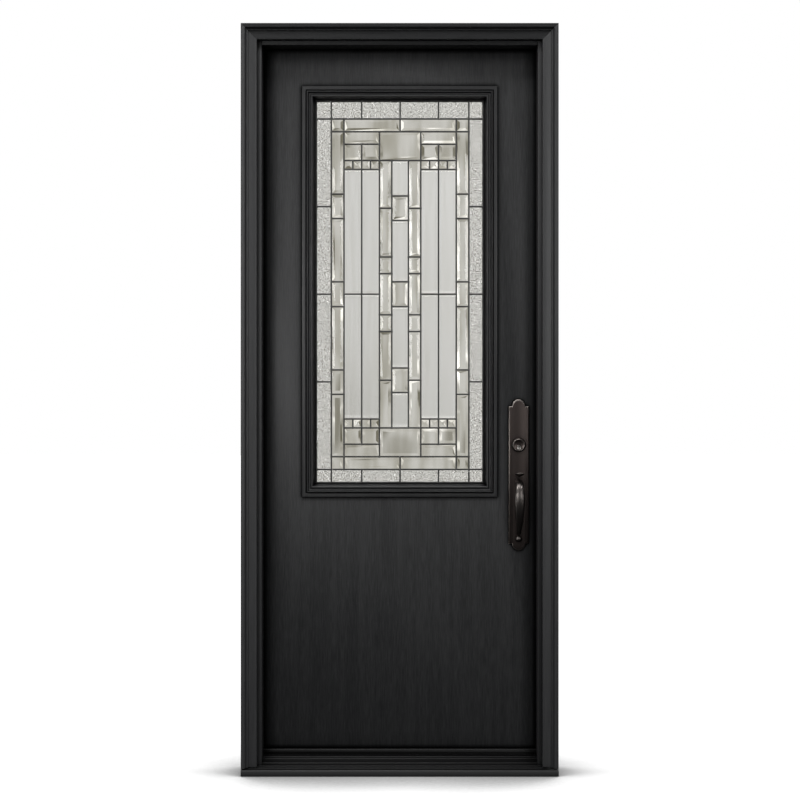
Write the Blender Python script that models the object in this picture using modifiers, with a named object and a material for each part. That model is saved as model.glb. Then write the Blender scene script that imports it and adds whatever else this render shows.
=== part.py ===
"""Prehung fibreglass entry door: a hinged slab with a leaded-glass lite, its frame, casing and sill.

Metres, +Z up, +X to the right seen from outside, +Y into the building.
The origin is the middle of the sill's underside, in the plane of the casing's back, which lies
on the outside wall. Run with: blender --background --python part.py
"""
import math

import bmesh
import bpy
from mathutils import Matrix, Vector

# Fits
GAP = 0.0003                    # between pieces that touch
SLIDE_GAP = 0.0004              # around what turns or slides in a hole

# Slab
SLAB_WIDTH = 0.8065
SLAB_HEIGHT = 2.032
SLAB_THICKNESS = 0.0445
SLAB_BOTTOM = 0.0575            # height of the slab's foot over the sill's underside
SLAB_EDGE_ROUND = 0.0010

# Jambs
JAMB_DEPTH = 0.1159
JAMB_THICKNESS = 0.0318
STOP_WIDTH = 0.0127             # how far the stop stands in from the rabbet
EDGE_GAP = 0.0035               # slab edge to rabbet, sides and top
SEAL_SPACE = 0.0030             # stop to slab face, filled by the weatherstrip

# Casing
CASING_WIDTH = 0.0452
CASING_THICKNESS = 0.0320
REVEAL = 0.0120                 # jamb edge left bare inside the casing
CASING_FOOT_GAP = 0.0040        # casing foot over the sill deck
CASING_BEAD = 0.0165            # round bead along the outer edge
CASING_FILLET = 0.0030          # between the bead and the flat band
CASING_QUIRK = 0.0012           # narrow steps of the moulding
CASING_BAND_SHARE = 0.68        # flat band's height as a share of the thickness

# Sill
SILL_NOSE = 0.0340              # how far the sill stands out from the wall plane
NOSE_HEIGHT = 0.0170
NOSE_ROUND = 0.0020
DECK_THICKNESS = 0.0020
DECK_REAR = 0.0535              # depth of the deck's rear edge
DECK_RISE = 0.0270              # from nose to rear edge
RIB_HEIGHT = 0.0007
RIB_WIDTH = 0.0030
RIB_SHARES = (0.15, 0.28, 0.48, 0.76, 0.88)     # of the way up the deck

# Threshold cap
CAP_LIP_HEIGHT = 0.0605
CAP_LIP_DROP = 0.0100           # height of the lip's front face
CAP_LIP_WIDTH = 0.0122
CAP_UNDERCUT = 0.0040
CAP_LEDGE_HEIGHT = 0.0475
CAP_REAR = 0.0080               # cap's rear edge in front of the jamb's inner edge
CAP_CHAMFER = 0.0020

# Lite: the framed opening for the glass
LITE_STILE = 0.12075            # slab left beside the lite frame
LITE_TOP_RAIL = 0.1145          # slab left over it
LITE_HEIGHT = 1.1880            # over the lite frame
LITE_FRAME_FACE = 0.0378
LITE_FRAME_PROUD = 0.0098       # highest bead over the slab
LITE_FRAME_LAP = 0.0100         # how far the frame laps the slab
GLASS_SETBACK = 0.0150          # slab face to the glass
GLASS_THICKNESS = 0.0060
GLASS_HELD = 0.0080             # glass edge held under the lite frame
BEVEL_WIDTH = 0.0075
BEVEL_RISE = 0.0015
CAME_WIDTH = 0.0044
CAME_THICKNESS = 0.0018
CAME_BORDER = 0.0030
PATTERN_DROP = 0.0065           # the leading sits this much low in its frame
PATTERN_SHIFT = 0.0012          # and this much to the right

# Leading: widths of the outer bands from the pane's edge inwards
BORDER_WIDTH = 0.0451
NARROW_WIDTH = 0.0367
BORDER_DEPTH = 0.0475
BAND_DEPTH = 0.0370
HEAD_DEPTH = 0.0363
CROSS_DEPTH = 0.0473
SQUARE_DEPTH = 0.0260

# Leading: distances from its centre
INNER_X = 0.0600
CENTRE_X = 0.0241
NARROW_SPLITS_Z = (0.0360, 0.2197, 0.2906)
INNER_SPLITS_Z = (0.0597, 0.1083, 0.2496)
CENTRE_SPLITS_Z = (0.0361, 0.2141, 0.2852)

# Hinges
HINGE_COUNT = 3
HINGE_HEIGHT = 0.1016
HINGE_END = 0.2300              # slab's end to the middle of the end hinge
LEAF_THICKNESS = 0.0025
LEAF_REACH = 0.0360             # leaf under the slab's edge, from its inner face
KNUCKLE_RADIUS = 0.0060
KNUCKLE_STANDOFF = 0.0070       # pin axis proud of the slab's inner face
KNUCKLE_COUNT = 5
PIN_RADIUS = 0.0030
PIN_HEAD_RADIUS = 0.0050
PIN_HEAD_HEIGHT = 0.0040

# Handleset, outside
BACKSET = 0.0590                # slab's latch edge to the middle of the plate
PLATE_HALF_WIDTH = 0.0290
PLATE_OVER_COLLAR = 0.1117      # collar's middle to the upper shoulder
PLATE_UNDER_SCREW = 0.0141      # foot screw's middle to the lower shoulder
PLATE_THICKNESS = 0.0050
PLATE_CHAMFER = 0.0030
LOBE_HALF_WIDTH = 0.0194
LOBE_RISE = 0.0200
COLLAR_HEIGHT = 0.9375
COLLAR_RADIUS = 0.0208
COLLAR_PROUD = 0.0090
PLUG_DROP = 0.0074              # key plug below the collar's middle
PLUG_RADIUS = 0.0066
PLUG_DEPTH = 0.0060
PLUG_PROUD = 0.0010
KEYWAY_WIDTH = 0.0014
KEYWAY_HEIGHT = 0.0080
KEYWAY_DEPTH = 0.0030
THUMB_DROP = 0.0875             # thumb piece below the collar's middle
THUMB_SLOT_HALF_WIDTH = 0.0052
THUMB_SLOT_HALF_HEIGHT = 0.0090
THUMB_INSET = 0.0029            # thumb piece's root behind the plate's face
GRIP_DROP = 0.0180              # grip's upper end below the thumb piece
GRIP_LENGTH = 0.1510
GRIP_STANDOFF = 0.0500
GRIP_HALF_WIDTH = 0.0155
GRIP_HALF_THICKNESS = 0.0078
SCREW_DROP = 0.0153             # screw's middle below the grip's lower end
SCREW_RADIUS = 0.0095
SCREW_PROUD = 0.0075

# Handleset, inside
INSIDE_PLATE_HALF_WIDTH = 0.0270
INSIDE_PLATE_MARGIN = 0.0770    # plate beyond the knob's and the turn's middles
INSIDE_PLATE_THICKNESS = 0.0040
KNOB_RADIUS = 0.0270
KNOB_NECK_RADIUS = 0.0090
KNOB_PROUD = 0.0580
KNOB_FLATNESS = 0.62            # the ball's depth as a share of its width
TURN_BASE_RADIUS = 0.0120
TURN_HALF_WIDTH = 0.0030
TURN_HALF_HEIGHT = 0.0150
TURN_PROUD = 0.0240

# Lock edge
LOCK_SPACING = 0.0761           # deadbolt's middle to the latch's
BOLT_THICKNESS = 0.0140
BOLT_INSET = 0.0006             # drawn-back bolts behind the slab's edge
DEADBOLT_HEIGHT = 0.0280
DEADBOLT_LENGTH = 0.0400
LATCH_HEIGHT = 0.0200
LATCH_LENGTH = 0.0300
FACEPLATE_MARGIN = 0.0570       # faceplate beyond each bolt's middle
FACEPLATE_HALF_WIDTH = 0.0125
FACEPLATE_THICKNESS = 0.0025
CASE_DEPTH = 0.0480             # mortise in the slab behind the faceplate
STRIKE_MARGIN = 0.0370          # strike beyond each bolt's middle
STRIKE_REACH = 0.0360           # strike under the slab's edge, from the jamb's inner edge
STRIKE_THICKNESS = 0.0020
STRIKE_LIP = 0.0040
STRIKE_HOLE_CLEARANCE = 0.0020

# Seals
SEAL_WIDTH = 0.0100
SEAL_ROUND = 0.0010
SWEEP_BASE = 0.0020
SWEEP_FIN = 0.0030
SWEEP_FINS = 3

# Places worked out from the sizes above
SLAB_TOP = SLAB_BOTTOM + SLAB_HEIGHT
SLAB_HALF = SLAB_WIDTH / 2
RABBET_HALF = SLAB_HALF + EDGE_GAP
RABBET_TOP = SLAB_TOP + EDGE_GAP
STOP_HALF = RABBET_HALF - STOP_WIDTH
STOP_TOP = RABBET_TOP - STOP_WIDTH
JAMB_HALF = STOP_HALF + JAMB_THICKNESS
JAMB_TOP = STOP_TOP + JAMB_THICKNESS
SLAB_INNER_Y = JAMB_DEPTH
SLAB_OUTER_Y = SLAB_INNER_Y - SLAB_THICKNESS
SLAB_MIDDLE_Y = (SLAB_INNER_Y + SLAB_OUTER_Y) / 2
STOP_BACK_Y = SLAB_OUTER_Y - SEAL_SPACE
CASING_INNER = STOP_HALF + REVEAL
CASING_INNER_TOP = STOP_TOP + REVEAL
SILL_HALF = CASING_INNER + CASING_WIDTH
DECK_SLOPE = DECK_RISE / (DECK_REAR + SILL_NOSE - NOSE_ROUND)
SUBSTRATE_TOP = NOSE_HEIGHT + DECK_RISE
GLASS_FRONT_Y = SLAB_OUTER_Y + GLASS_SETBACK
GLASS_BACK_Y = GLASS_FRONT_Y + GLASS_THICKNESS
LITE_WIDTH = SLAB_WIDTH - 2 * LITE_STILE
LITE_CENTRE_HEIGHT = SLAB_TOP - LITE_TOP_RAIL - LITE_HEIGHT / 2
PANE_HALF_X = LITE_WIDTH / 2 - LITE_FRAME_FACE
PANE_HALF_Z = LITE_HEIGHT / 2 - LITE_FRAME_FACE
BORDER_X = PANE_HALF_X - BORDER_WIDTH
NARROW_X = BORDER_X - NARROW_WIDTH
SQUARE_X = (NARROW_X + INNER_X) / 2
BORDER_Z = PANE_HALF_Z - BORDER_DEPTH
BAND_Z = BORDER_Z - BAND_DEPTH
HEAD_Z = BAND_Z - HEAD_DEPTH
CROSS_Z = HEAD_Z - CROSS_DEPTH
TALL_Z = CROSS_Z - SQUARE_DEPTH
HINGE_X = -(SLAB_HALF + EDGE_GAP / 2)
HINGE_Y = SLAB_INNER_Y + KNUCKLE_STANDOFF
HANDLE_X = SLAB_HALF - BACKSET
PLATE_FACE_Y = SLAB_OUTER_Y - GAP - PLATE_THICKNESS
THUMB_HEIGHT = COLLAR_HEIGHT - THUMB_DROP
THUMB_PIVOT_Y = PLATE_FACE_Y + THUMB_INSET / 2
GRIP_TOP = THUMB_HEIGHT - GRIP_DROP
SCREW_HEIGHT = GRIP_TOP - GRIP_LENGTH - SCREW_DROP
PLATE_TOP = COLLAR_HEIGHT + PLATE_OVER_COLLAR
PLATE_BOTTOM = SCREW_HEIGHT - PLATE_UNDER_SCREW
PLUG_HEIGHT = COLLAR_HEIGHT - PLUG_DROP
KNOB_HEIGHT = PLUG_HEIGHT - LOCK_SPACING
LOCK_MIDDLE = (PLUG_HEIGHT + KNOB_HEIGHT) / 2
INSIDE_FACE_Y = SLAB_INNER_Y + GAP + INSIDE_PLATE_THICKNESS
FACEPLATE_HALF_HEIGHT = LOCK_SPACING / 2 + FACEPLATE_MARGIN
STRIKE_HALF_HEIGHT = LOCK_SPACING / 2 + STRIKE_MARGIN
INSIDE_PLATE_HALF_HEIGHT = LOCK_SPACING / 2 + INSIDE_PLATE_MARGIN

# Directions of extrusion: profile x, profile y, and depth, as world axes
ALONG_X = Matrix(((0, 0, 1, 0), (1, 0, 0, 0), (0, 1, 0, 0), (0, 0, 0, 1)))
ALONG_Z = Matrix.Identity(4)
TOWARDS_OUTSIDE = Matrix(((1, 0, 0, 0), (0, 0, -1, 0), (0, 1, 0, 0), (0, 0, 0, 1)))

MIRROR_X = Matrix.Scale(-1, 4, (1, 0, 0))

# Surface colours, roughness and metallic value
FINISHES = {
    "black_fibreglass": ((0.022, 0.023, 0.025), 0.45, 0.0),
    "black_paint": ((0.020, 0.021, 0.022), 0.40, 0.0),
    "black_aluminium": ((0.018, 0.018, 0.019), 0.35, 1.0),
    "black_composite": ((0.025, 0.025, 0.026), 0.55, 0.0),
    "black_rubber": ((0.012, 0.012, 0.012), 0.80, 0.0),
    "clear_glass": ((0.80, 0.82, 0.80), 0.05, 0.0),
    "dark_came": ((0.090, 0.090, 0.088), 0.45, 1.0),
    "dark_bronze": ((0.045, 0.036, 0.033), 0.35, 1.0),
    "steel": ((0.55, 0.53, 0.50), 0.30, 1.0),
}


def clear_scene():
    """Remove what the start-up scene holds."""
    for obj in list(bpy.data.objects):
        bpy.data.objects.remove(obj, do_unlink=True)


def new_collection(name):
    collection = bpy.data.collections.new(name)
    bpy.context.scene.collection.children.link(collection)
    return collection


clear_scene()
DOOR_UNIT = new_collection("entry_door")
CUTTERS = new_collection("cutters")
MATERIALS = {}


def finish(name):
    """The material for one surface, made once."""
    if name not in MATERIALS:
        colour, roughness, metallic = FINISHES[name]
        material = bpy.data.materials.new(name)
        material.use_nodes = True
        shader = material.node_tree.nodes["Principled BSDF"]
        shader.inputs["Base Color"].default_value = (*colour, 1.0)
        shader.inputs["Roughness"].default_value = roughness
        shader.inputs["Metallic"].default_value = metallic
        if name == "clear_glass":
            shader.inputs["Transmission Weight"].default_value = 1.0
        MATERIALS[name] = material
    return MATERIALS[name]


def add_mesh(name, mesh, surface):
    """A visible piece of the door unit."""
    obj = bpy.data.objects.new(name, mesh)
    DOOR_UNIT.objects.link(obj)
    mesh.materials.clear()
    mesh.materials.append(finish(surface))
    return obj


def mesh_from(name, bm):
    bmesh.ops.recalc_face_normals(bm, faces=bm.faces)
    mesh = bpy.data.meshes.new(name)
    bm.to_mesh(mesh)
    bm.free()
    return mesh


def box_mesh(name, low, high):
    """A cube primitive stretched from its low corner to its high corner."""
    low, high = Vector(low), Vector(high)
    bm = bmesh.new()
    bmesh.ops.create_cube(bm, size=1.0)
    bmesh.ops.scale(bm, vec=high - low, verts=bm.verts)
    bmesh.ops.translate(bm, vec=(low + high) / 2, verts=bm.verts)
    return mesh_from(name, bm)


def boxes_mesh(name, corners):
    """Several boxes in one mesh, for a cutter."""
    bm = bmesh.new()
    for low, high in corners:
        bm.from_mesh(box_mesh(name, low, high))
    return mesh_from(name, bm)


def extruded_mesh(name, outlines, start, end, direction):
    """A flat outline, with any holes after it, given depth from start to end along a direction."""
    curve = bpy.data.curves.new(name, "CURVE")
    curve.dimensions = "2D"
    curve.fill_mode = "BOTH"
    curve.extrude = (end - start) / 2
    for outline in outlines:
        spline = curve.splines.new("POLY")
        spline.points.add(len(outline) - 1)
        for point, (across, up) in zip(spline.points, outline):
            point.co = (across, up, 0, 1)
        spline.use_cyclic_u = True
    guide = bpy.data.objects.new(name, curve)
    CUTTERS.objects.link(guide)
    graph = bpy.context.evaluated_depsgraph_get()
    mesh = bpy.data.meshes.new_from_object(guide.evaluated_get(graph))
    bpy.data.objects.remove(guide)
    mesh.transform(direction @ Matrix.Translation((0, 0, (start + end) / 2)))
    bm = bmesh.new()
    bm.from_mesh(mesh)
    bmesh.ops.remove_doubles(bm, verts=bm.verts, dist=0.00001)
    return mesh_from(name, bm)


def skin_mesh(name, rings, closed=False):
    """A loft through rings with the same number of points, capped unless it runs round."""
    bm = bmesh.new()
    loops = [[bm.verts.new(point) for point in ring] for ring in rings]
    following = loops[1:] + loops[:1] if closed else loops[1:]
    for ring, other in zip(loops, following):
        for index, vertex in enumerate(ring):
            after = (index + 1) % len(ring)
            bm.faces.new((vertex, ring[after], other[after], other[index]))
    if not closed:
        bm.faces.new(loops[0])
        bm.faces.new(loops[-1])
    return mesh_from(name, bm)


def turned(name, profile, place, turn, surface, steps):
    """A profile of (radius, height) from top to bottom, turned about the object's own Z axis."""
    mesh = bpy.data.meshes.new(name)
    points = [(radius, 0, height) for radius, height in profile]
    mesh.from_pydata(points, [(i, i + 1) for i in range(len(points) - 1)], [])
    obj = add_mesh(name, mesh, surface)
    obj.matrix_world = Matrix.Translation(place) @ turn
    screw = obj.modifiers.new("turn", "SCREW")
    screw.steps = steps
    screw.render_steps = steps
    screw.use_merge_vertices = True
    screw.merge_threshold = 0.00001
    return obj


def combine(obj, meshes, operation):
    """Cut or join plain meshes to an object with one Boolean modifier each."""
    for mesh in meshes:
        tool = bpy.data.objects.new(mesh.name, mesh)
        CUTTERS.objects.link(tool)
        tool.hide_render = True
        tool.display_type = "WIRE"
        modifier = obj.modifiers.new(operation.lower(), "BOOLEAN")
        modifier.operation = operation
        modifier.solver = "EXACT"
        modifier.object = tool
    return obj


def baked(obj, name):
    """The object's evaluated mesh as a plain mesh, so that copies can share it."""
    graph = bpy.context.evaluated_depsgraph_get()
    mesh = bpy.data.meshes.new_from_object(obj.evaluated_get(graph))
    mesh.name = name
    bpy.data.objects.remove(obj)
    return mesh


def pivot(name, place):
    """An empty on a joint's axis."""
    empty = bpy.data.objects.new(name, None)
    empty.location = place
    DOOR_UNIT.objects.link(empty)
    return empty


def carry(empty, *pieces):
    """Parent pieces to an empty, where they stand."""
    bpy.context.view_layer.update()
    for piece in pieces:
        piece.parent = empty
        piece.matrix_parent_inverse = empty.matrix_world.inverted()


def arc(centre, radius, start_deg, end_deg, steps):
    """Points along a round stretch of an outline."""
    points = []
    for step in range(steps + 1):
        angle = math.radians(start_deg + (end_deg - start_deg) * step / steps)
        points.append((centre[0] + radius * math.cos(angle), centre[1] + radius * math.sin(angle)))
    return points


def rectangle(half_width, half_height, centre=(0, 0)):
    across, up = centre
    return [
        (across - half_width, up - half_height),
        (across + half_width, up - half_height),
        (across + half_width, up + half_height),
        (across - half_width, up + half_height),
    ]


def deck_top(depth):
    """Height of the sill deck's plain surface at a depth."""
    return NOSE_HEIGHT + (depth + SILL_NOSE - NOSE_ROUND) * DECK_SLOPE


def jamb_outline(clearance=0.0, outer=JAMB_HALF):
    """Section of the right jamb: stop, rabbet and back, or the notch that clears it."""
    front = -clearance
    return [
        (STOP_HALF - clearance, front),
        (outer, front),
        (outer, JAMB_DEPTH + 10 * clearance),
        (RABBET_HALF - clearance, JAMB_DEPTH + 10 * clearance),
        (RABBET_HALF - clearance, STOP_BACK_Y + clearance),
        (STOP_HALF - clearance, STOP_BACK_Y + clearance),
    ]


def flipped(mesh, name):
    """A mirror image across X = 0."""
    copy = mesh.copy()
    copy.name = name
    copy.transform(MIRROR_X)
    copy.flip_normals()
    return copy


def hinge_heights():
    span = SLAB_HEIGHT - 2 * HINGE_END
    return [SLAB_BOTTOM + HINGE_END + span * i / (HINGE_COUNT - 1) for i in range(HINGE_COUNT)]


def hinge_pockets(near_x, far_x):
    """Shallow mortises for the hinge leaves, open to the inner face."""
    pockets = []
    for height in hinge_heights():
        low = (near_x, SLAB_INNER_Y - LEAF_REACH - GAP, height - HINGE_HEIGHT / 2 - GAP)
        high = (far_x, SLAB_INNER_Y + LEAF_REACH, height + HINGE_HEIGHT / 2 + GAP)
        pockets.append((low, high))
    return pockets


def bolt_hole(height, bolt_height, clearance, near_x, far_x):
    """A box around one bolt's path."""
    half_y = BOLT_THICKNESS / 2 + clearance
    half_z = bolt_height / 2 + clearance
    low = (near_x, SLAB_MIDDLE_Y - half_y, height - half_z)
    high = (far_x, SLAB_MIDDLE_Y + half_y, height + half_z)
    return low, high


def build_jambs():
    """Two side jambs down to the floor, and the head between them."""
    side_top = RABBET_TOP - GAP
    mesh = extruded_mesh("jamb_latch_side", [jamb_outline()], 0, side_top, ALONG_Z)
    hinge_jamb = add_mesh("jamb_hinge_side", flipped(mesh, "jamb_hinge_side"), "black_paint")
    leaf_depth = RABBET_HALF + LEAF_THICKNESS + GAP
    pockets = boxes_mesh("hinge_mortises", hinge_pockets(-leaf_depth, -RABBET_HALF + STOP_WIDTH))
    combine(hinge_jamb, [pockets], "DIFFERENCE")

    latch_jamb = add_mesh("jamb_latch_side", mesh, "black_paint")
    strike_back = RABBET_HALF + STRIKE_THICKNESS + GAP
    recess = boxes_mesh("strike_mortise", [(
        (RABBET_HALF - STOP_WIDTH, JAMB_DEPTH - STRIKE_REACH - GAP, LOCK_MIDDLE - STRIKE_HALF_HEIGHT - GAP),
        (strike_back, JAMB_DEPTH + STRIKE_REACH, LOCK_MIDDLE + STRIKE_HALF_HEIGHT + GAP),
    )])
    holes = boxes_mesh("bolt_holes", [
        bolt_hole(PLUG_HEIGHT, DEADBOLT_HEIGHT, STRIKE_HOLE_CLEARANCE, STOP_HALF, JAMB_HALF + STOP_WIDTH),
        bolt_hole(KNOB_HEIGHT, LATCH_HEIGHT, STRIKE_HOLE_CLEARANCE, STOP_HALF, JAMB_HALF + STOP_WIDTH),
    ])
    combine(latch_jamb, [recess, holes], "DIFFERENCE")

    head_outline = [
        (0, STOP_TOP),
        (STOP_BACK_Y, STOP_TOP),
        (STOP_BACK_Y, RABBET_TOP),
        (JAMB_DEPTH, RABBET_TOP),
        (JAMB_DEPTH, JAMB_TOP),
        (0, JAMB_TOP),
    ]
    head = extruded_mesh("jamb_head", [head_outline], -JAMB_HALF, JAMB_HALF, ALONG_X)
    head = add_mesh("jamb_head", head, "black_paint")
    housing = extruded_mesh("jamb_housing", [jamb_outline(GAP, JAMB_HALF * 2)], 0, RABBET_TOP, ALONG_Z)
    combine(head, [housing, flipped(housing, "jamb_housing_left")], "DIFFERENCE")


def casing_profile():
    """Casing section as (distance out from its inner edge, height over the wall)."""
    width, thick, quirk = CASING_WIDTH, CASING_THICKNESS, CASING_QUIRK
    band = thick * CASING_BAND_SHARE
    bead_inner = width - CASING_BEAD
    band_end = bead_inner - CASING_FILLET
    radius = CASING_BEAD / 2
    points = [
        (0.0, 0.0),
        (0.0, band - quirk),
        (quirk, band),
        (quirk * 3, band + quirk),
        (quirk * 5, band),
        (band_end - quirk * 5, band),
        (band_end, band + quirk),
        (band_end + quirk, band - quirk),
        (bead_inner, band - quirk),
    ]
    points += arc((width - radius, thick - radius), radius, 180, 0, 8)
    points.append((width, 0.0))
    return points


def build_casing():
    """Three lengths of brickmould, mitred at the top corners and cut to the sill's slope."""
    joint = GAP / 2
    foot, mitre, head_left = [], [], []
    for out, height in casing_profile():
        across = CASING_INNER + out
        depth = -height
        foot.append(Vector((across, depth, deck_top(depth) + CASING_FOOT_GAP)))
        mitre.append(Vector((across, depth, CASING_INNER_TOP + out - joint)))
        head_left.append(Vector((across - joint, depth, CASING_INNER_TOP + out)))
    right = skin_mesh("brickmould_right", [foot, mitre])
    add_mesh("brickmould_left", flipped(right, "brickmould_left"), "black_paint")
    add_mesh("brickmould_right", right, "black_paint")
    head_right = [MIRROR_X @ point for point in head_left]
    add_mesh("brickmould_head", skin_mesh("brickmould_head", [head_right, head_left]), "black_paint")


def deck_outline():
    """Ribbed top, rounded nose and plain underside of the metal deck, as (depth, height)."""
    outline = [(-SILL_NOSE, GAP), (-SILL_NOSE, NOSE_HEIGHT - NOSE_ROUND)]
    front = -SILL_NOSE + NOSE_ROUND
    outline.append((front, NOSE_HEIGHT))
    for share in RIB_SHARES:
        middle = front + share * (DECK_REAR - front)
        start, end = middle - RIB_WIDTH / 2, middle + RIB_WIDTH / 2
        edge = RIB_WIDTH / 4
        outline.append((start, deck_top(start)))
        outline.append((start + edge, deck_top(start + edge) + RIB_HEIGHT))
        outline.append((end - edge, deck_top(end - edge) + RIB_HEIGHT))
        outline.append((end, deck_top(end)))
    outline.append((DECK_REAR, deck_top(DECK_REAR)))
    outline.append((DECK_REAR, deck_top(DECK_REAR) - DECK_THICKNESS))
    inner_nose = -SILL_NOSE + DECK_THICKNESS
    outline.append((inner_nose + NOSE_ROUND / 2, deck_top(inner_nose + NOSE_ROUND / 2) - DECK_THICKNESS))
    outline.append((inner_nose, NOSE_HEIGHT - DECK_THICKNESS - NOSE_ROUND))
    outline.append((inner_nose, GAP))
    return outline


def substrate_outline():
    """The solid under the deck and the cap, as (depth, height)."""
    front = -SILL_NOSE + DECK_THICKNESS + GAP
    under = DECK_THICKNESS + GAP
    return [
        (front, 0),
        (front, NOSE_HEIGHT - DECK_THICKNESS - NOSE_ROUND - GAP),
        (front + NOSE_ROUND, deck_top(front + NOSE_ROUND) - under - GAP),
        (DECK_REAR + GAP, deck_top(DECK_REAR) - under - GAP),
        (DECK_REAR + GAP, SUBSTRATE_TOP),
        (JAMB_DEPTH, SUBSTRATE_TOP),
        (JAMB_DEPTH, 0),
    ]


def cap_outline():
    """The threshold cap: a lip in front of the slab and a ledge under it, as (depth, height)."""
    lip_back = STOP_BACK_Y
    lip_front = lip_back - CAP_LIP_WIDTH
    base = SUBSTRATE_TOP + GAP
    lip_base = CAP_LIP_HEIGHT - CAP_LIP_DROP
    rear = JAMB_DEPTH - CAP_REAR
    return [
        (lip_front + CAP_UNDERCUT, base),
        (lip_front + CAP_UNDERCUT, lip_base),
        (lip_front, lip_base),
        (lip_front, CAP_LIP_HEIGHT - CAP_CHAMFER),
        (lip_front + CAP_CHAMFER * 0.3, CAP_LIP_HEIGHT - CAP_CHAMFER * 0.3),
        (lip_front + CAP_CHAMFER, CAP_LIP_HEIGHT),
        (lip_back - CAP_CHAMFER, CAP_LIP_HEIGHT),
        (lip_back, CAP_LIP_HEIGHT - CAP_CHAMFER),
        (lip_back, CAP_LEDGE_HEIGHT),
        (rear, CAP_LEDGE_HEIGHT),
        (rear + CAP_CHAMFER, CAP_LEDGE_HEIGHT - CAP_CHAMFER),
        (rear + CAP_CHAMFER, base),
    ]


def build_sill():
    """Substrate, metal deck and cap, with horns under the casing and notches for the jambs."""
    outline = jamb_outline(GAP, SILL_HALF * 2)
    notch = extruded_mesh("jamb_notch", [outline], -SLAB_BOTTOM, SLAB_BOTTOM * 2, ALONG_Z)
    sections = (
        ("sill_substrate", substrate_outline(), "black_composite"),
        ("sill_deck", deck_outline(), "black_aluminium"),
        ("threshold_cap", cap_outline(), "black_composite"),
    )
    for name, outline, surface in sections:
        mesh = extruded_mesh(name, [outline], -SILL_HALF, SILL_HALF, ALONG_X)
        piece = add_mesh(name, mesh, surface)
        combine(piece, [notch.copy(), flipped(notch, "jamb_notch_left")], "DIFFERENCE")


def seal_outline(inner):
    """Section of a weatherstrip against the stop, from its inner edge outwards, as (out, depth)."""
    near, far = STOP_BACK_Y + GAP, SLAB_OUTER_Y - GAP
    middle = (near + far) / 2
    return [
        (inner, middle),
        (inner + SEAL_ROUND, near),
        (inner + SEAL_WIDTH, near),
        (inner + SEAL_WIDTH, middle),
        (inner + SEAL_WIDTH - 2 * SEAL_ROUND, far),
        (inner + SEAL_ROUND, far),
    ]


def build_weatherstrips():
    """Strips on the back of the stops, the side ones standing on the cap."""
    start = STOP_HALF + (STOP_WIDTH - SEAL_WIDTH) / 2
    head_low = STOP_TOP + (STOP_WIDTH - SEAL_WIDTH) / 2
    low = CAP_LIP_HEIGHT + GAP
    mesh = extruded_mesh("weatherstrip_right", [seal_outline(start)], low, head_low - GAP, ALONG_Z)
    add_mesh("weatherstrip_left", flipped(mesh, "weatherstrip_left"), "black_rubber")
    add_mesh("weatherstrip_right", mesh, "black_rubber")
    half = RABBET_HALF - GAP
    outline = [(depth, up) for up, depth in seal_outline(head_low)]
    mesh = extruded_mesh("weatherstrip_head", [outline], -half, half, ALONG_X)
    add_mesh("weatherstrip_head", mesh, "black_rubber")


def build_slab():
    """The slab, cut for the lite, the hinge leaves and the lock."""
    low = (-SLAB_HALF, SLAB_OUTER_Y, SLAB_BOTTOM)
    high = (SLAB_HALF, SLAB_INNER_Y, SLAB_TOP)
    slab = add_mesh("door_slab", box_mesh("door_slab", low, high), "black_fibreglass")
    bevel = slab.modifiers.new("eased_edges", "BEVEL")
    bevel.width = SLAB_EDGE_ROUND
    bevel.segments = 1

    half_x = LITE_WIDTH / 2 - LITE_FRAME_LAP
    half_z = LITE_HEIGHT / 2 - LITE_FRAME_LAP
    opening = box_mesh(
        "lite_opening",
        (-half_x, SLAB_OUTER_Y - SLAB_THICKNESS, LITE_CENTRE_HEIGHT - half_z),
        (half_x, SLAB_INNER_Y + SLAB_THICKNESS, LITE_CENTRE_HEIGHT + half_z),
    )
    leaf_face = -SLAB_HALF + LEAF_THICKNESS + GAP
    leaves = boxes_mesh("leaf_mortises", hinge_pockets(-SLAB_HALF - STOP_WIDTH, leaf_face))
    face_half_y = FACEPLATE_HALF_WIDTH + GAP
    face_half_z = FACEPLATE_HALF_HEIGHT + GAP
    face_back = SLAB_HALF - FACEPLATE_THICKNESS - GAP
    faceplate = box_mesh(
        "faceplate_mortise",
        (face_back, SLAB_MIDDLE_Y - face_half_y, LOCK_MIDDLE - face_half_z),
        (SLAB_HALF + STOP_WIDTH, SLAB_MIDDLE_Y + face_half_y, LOCK_MIDDLE + face_half_z),
    )
    pockets = boxes_mesh("bolt_pockets", [
        bolt_hole(PLUG_HEIGHT, DEADBOLT_HEIGHT, SLIDE_GAP, SLAB_HALF - CASE_DEPTH, SLAB_HALF),
        bolt_hole(KNOB_HEIGHT, LATCH_HEIGHT, SLIDE_GAP, SLAB_HALF - CASE_DEPTH, SLAB_HALF),
    ])
    combine(slab, [opening, leaves, faceplate, pockets], "DIFFERENCE")
    return slab


def build_sweep():
    """Finned seal under the slab."""
    top = SLAB_BOTTOM - GAP
    foot = CAP_LEDGE_HEIGHT + GAP
    front = SLAB_OUTER_Y + SWEEP_FIN
    rear = SLAB_INNER_Y - CAP_REAR - SWEEP_FIN
    pitch = (rear - front - SWEEP_FIN) / (SWEEP_FINS - 1)
    outline = [(rear, top), (front, top)]
    for index in range(SWEEP_FINS):
        start = front + index * pitch
        outline.append((start, foot))
        outline.append((start + SWEEP_FIN, foot))
        if index < SWEEP_FINS - 1:
            outline.append((start + SWEEP_FIN, top - SWEEP_BASE))
            outline.append((start + pitch, top - SWEEP_BASE))
    half = SLAB_HALF - SLAB_EDGE_ROUND
    mesh = extruded_mesh("door_sweep", [outline], -half, half, ALONG_X)
    return add_mesh("door_sweep", mesh, "black_rubber")


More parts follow.
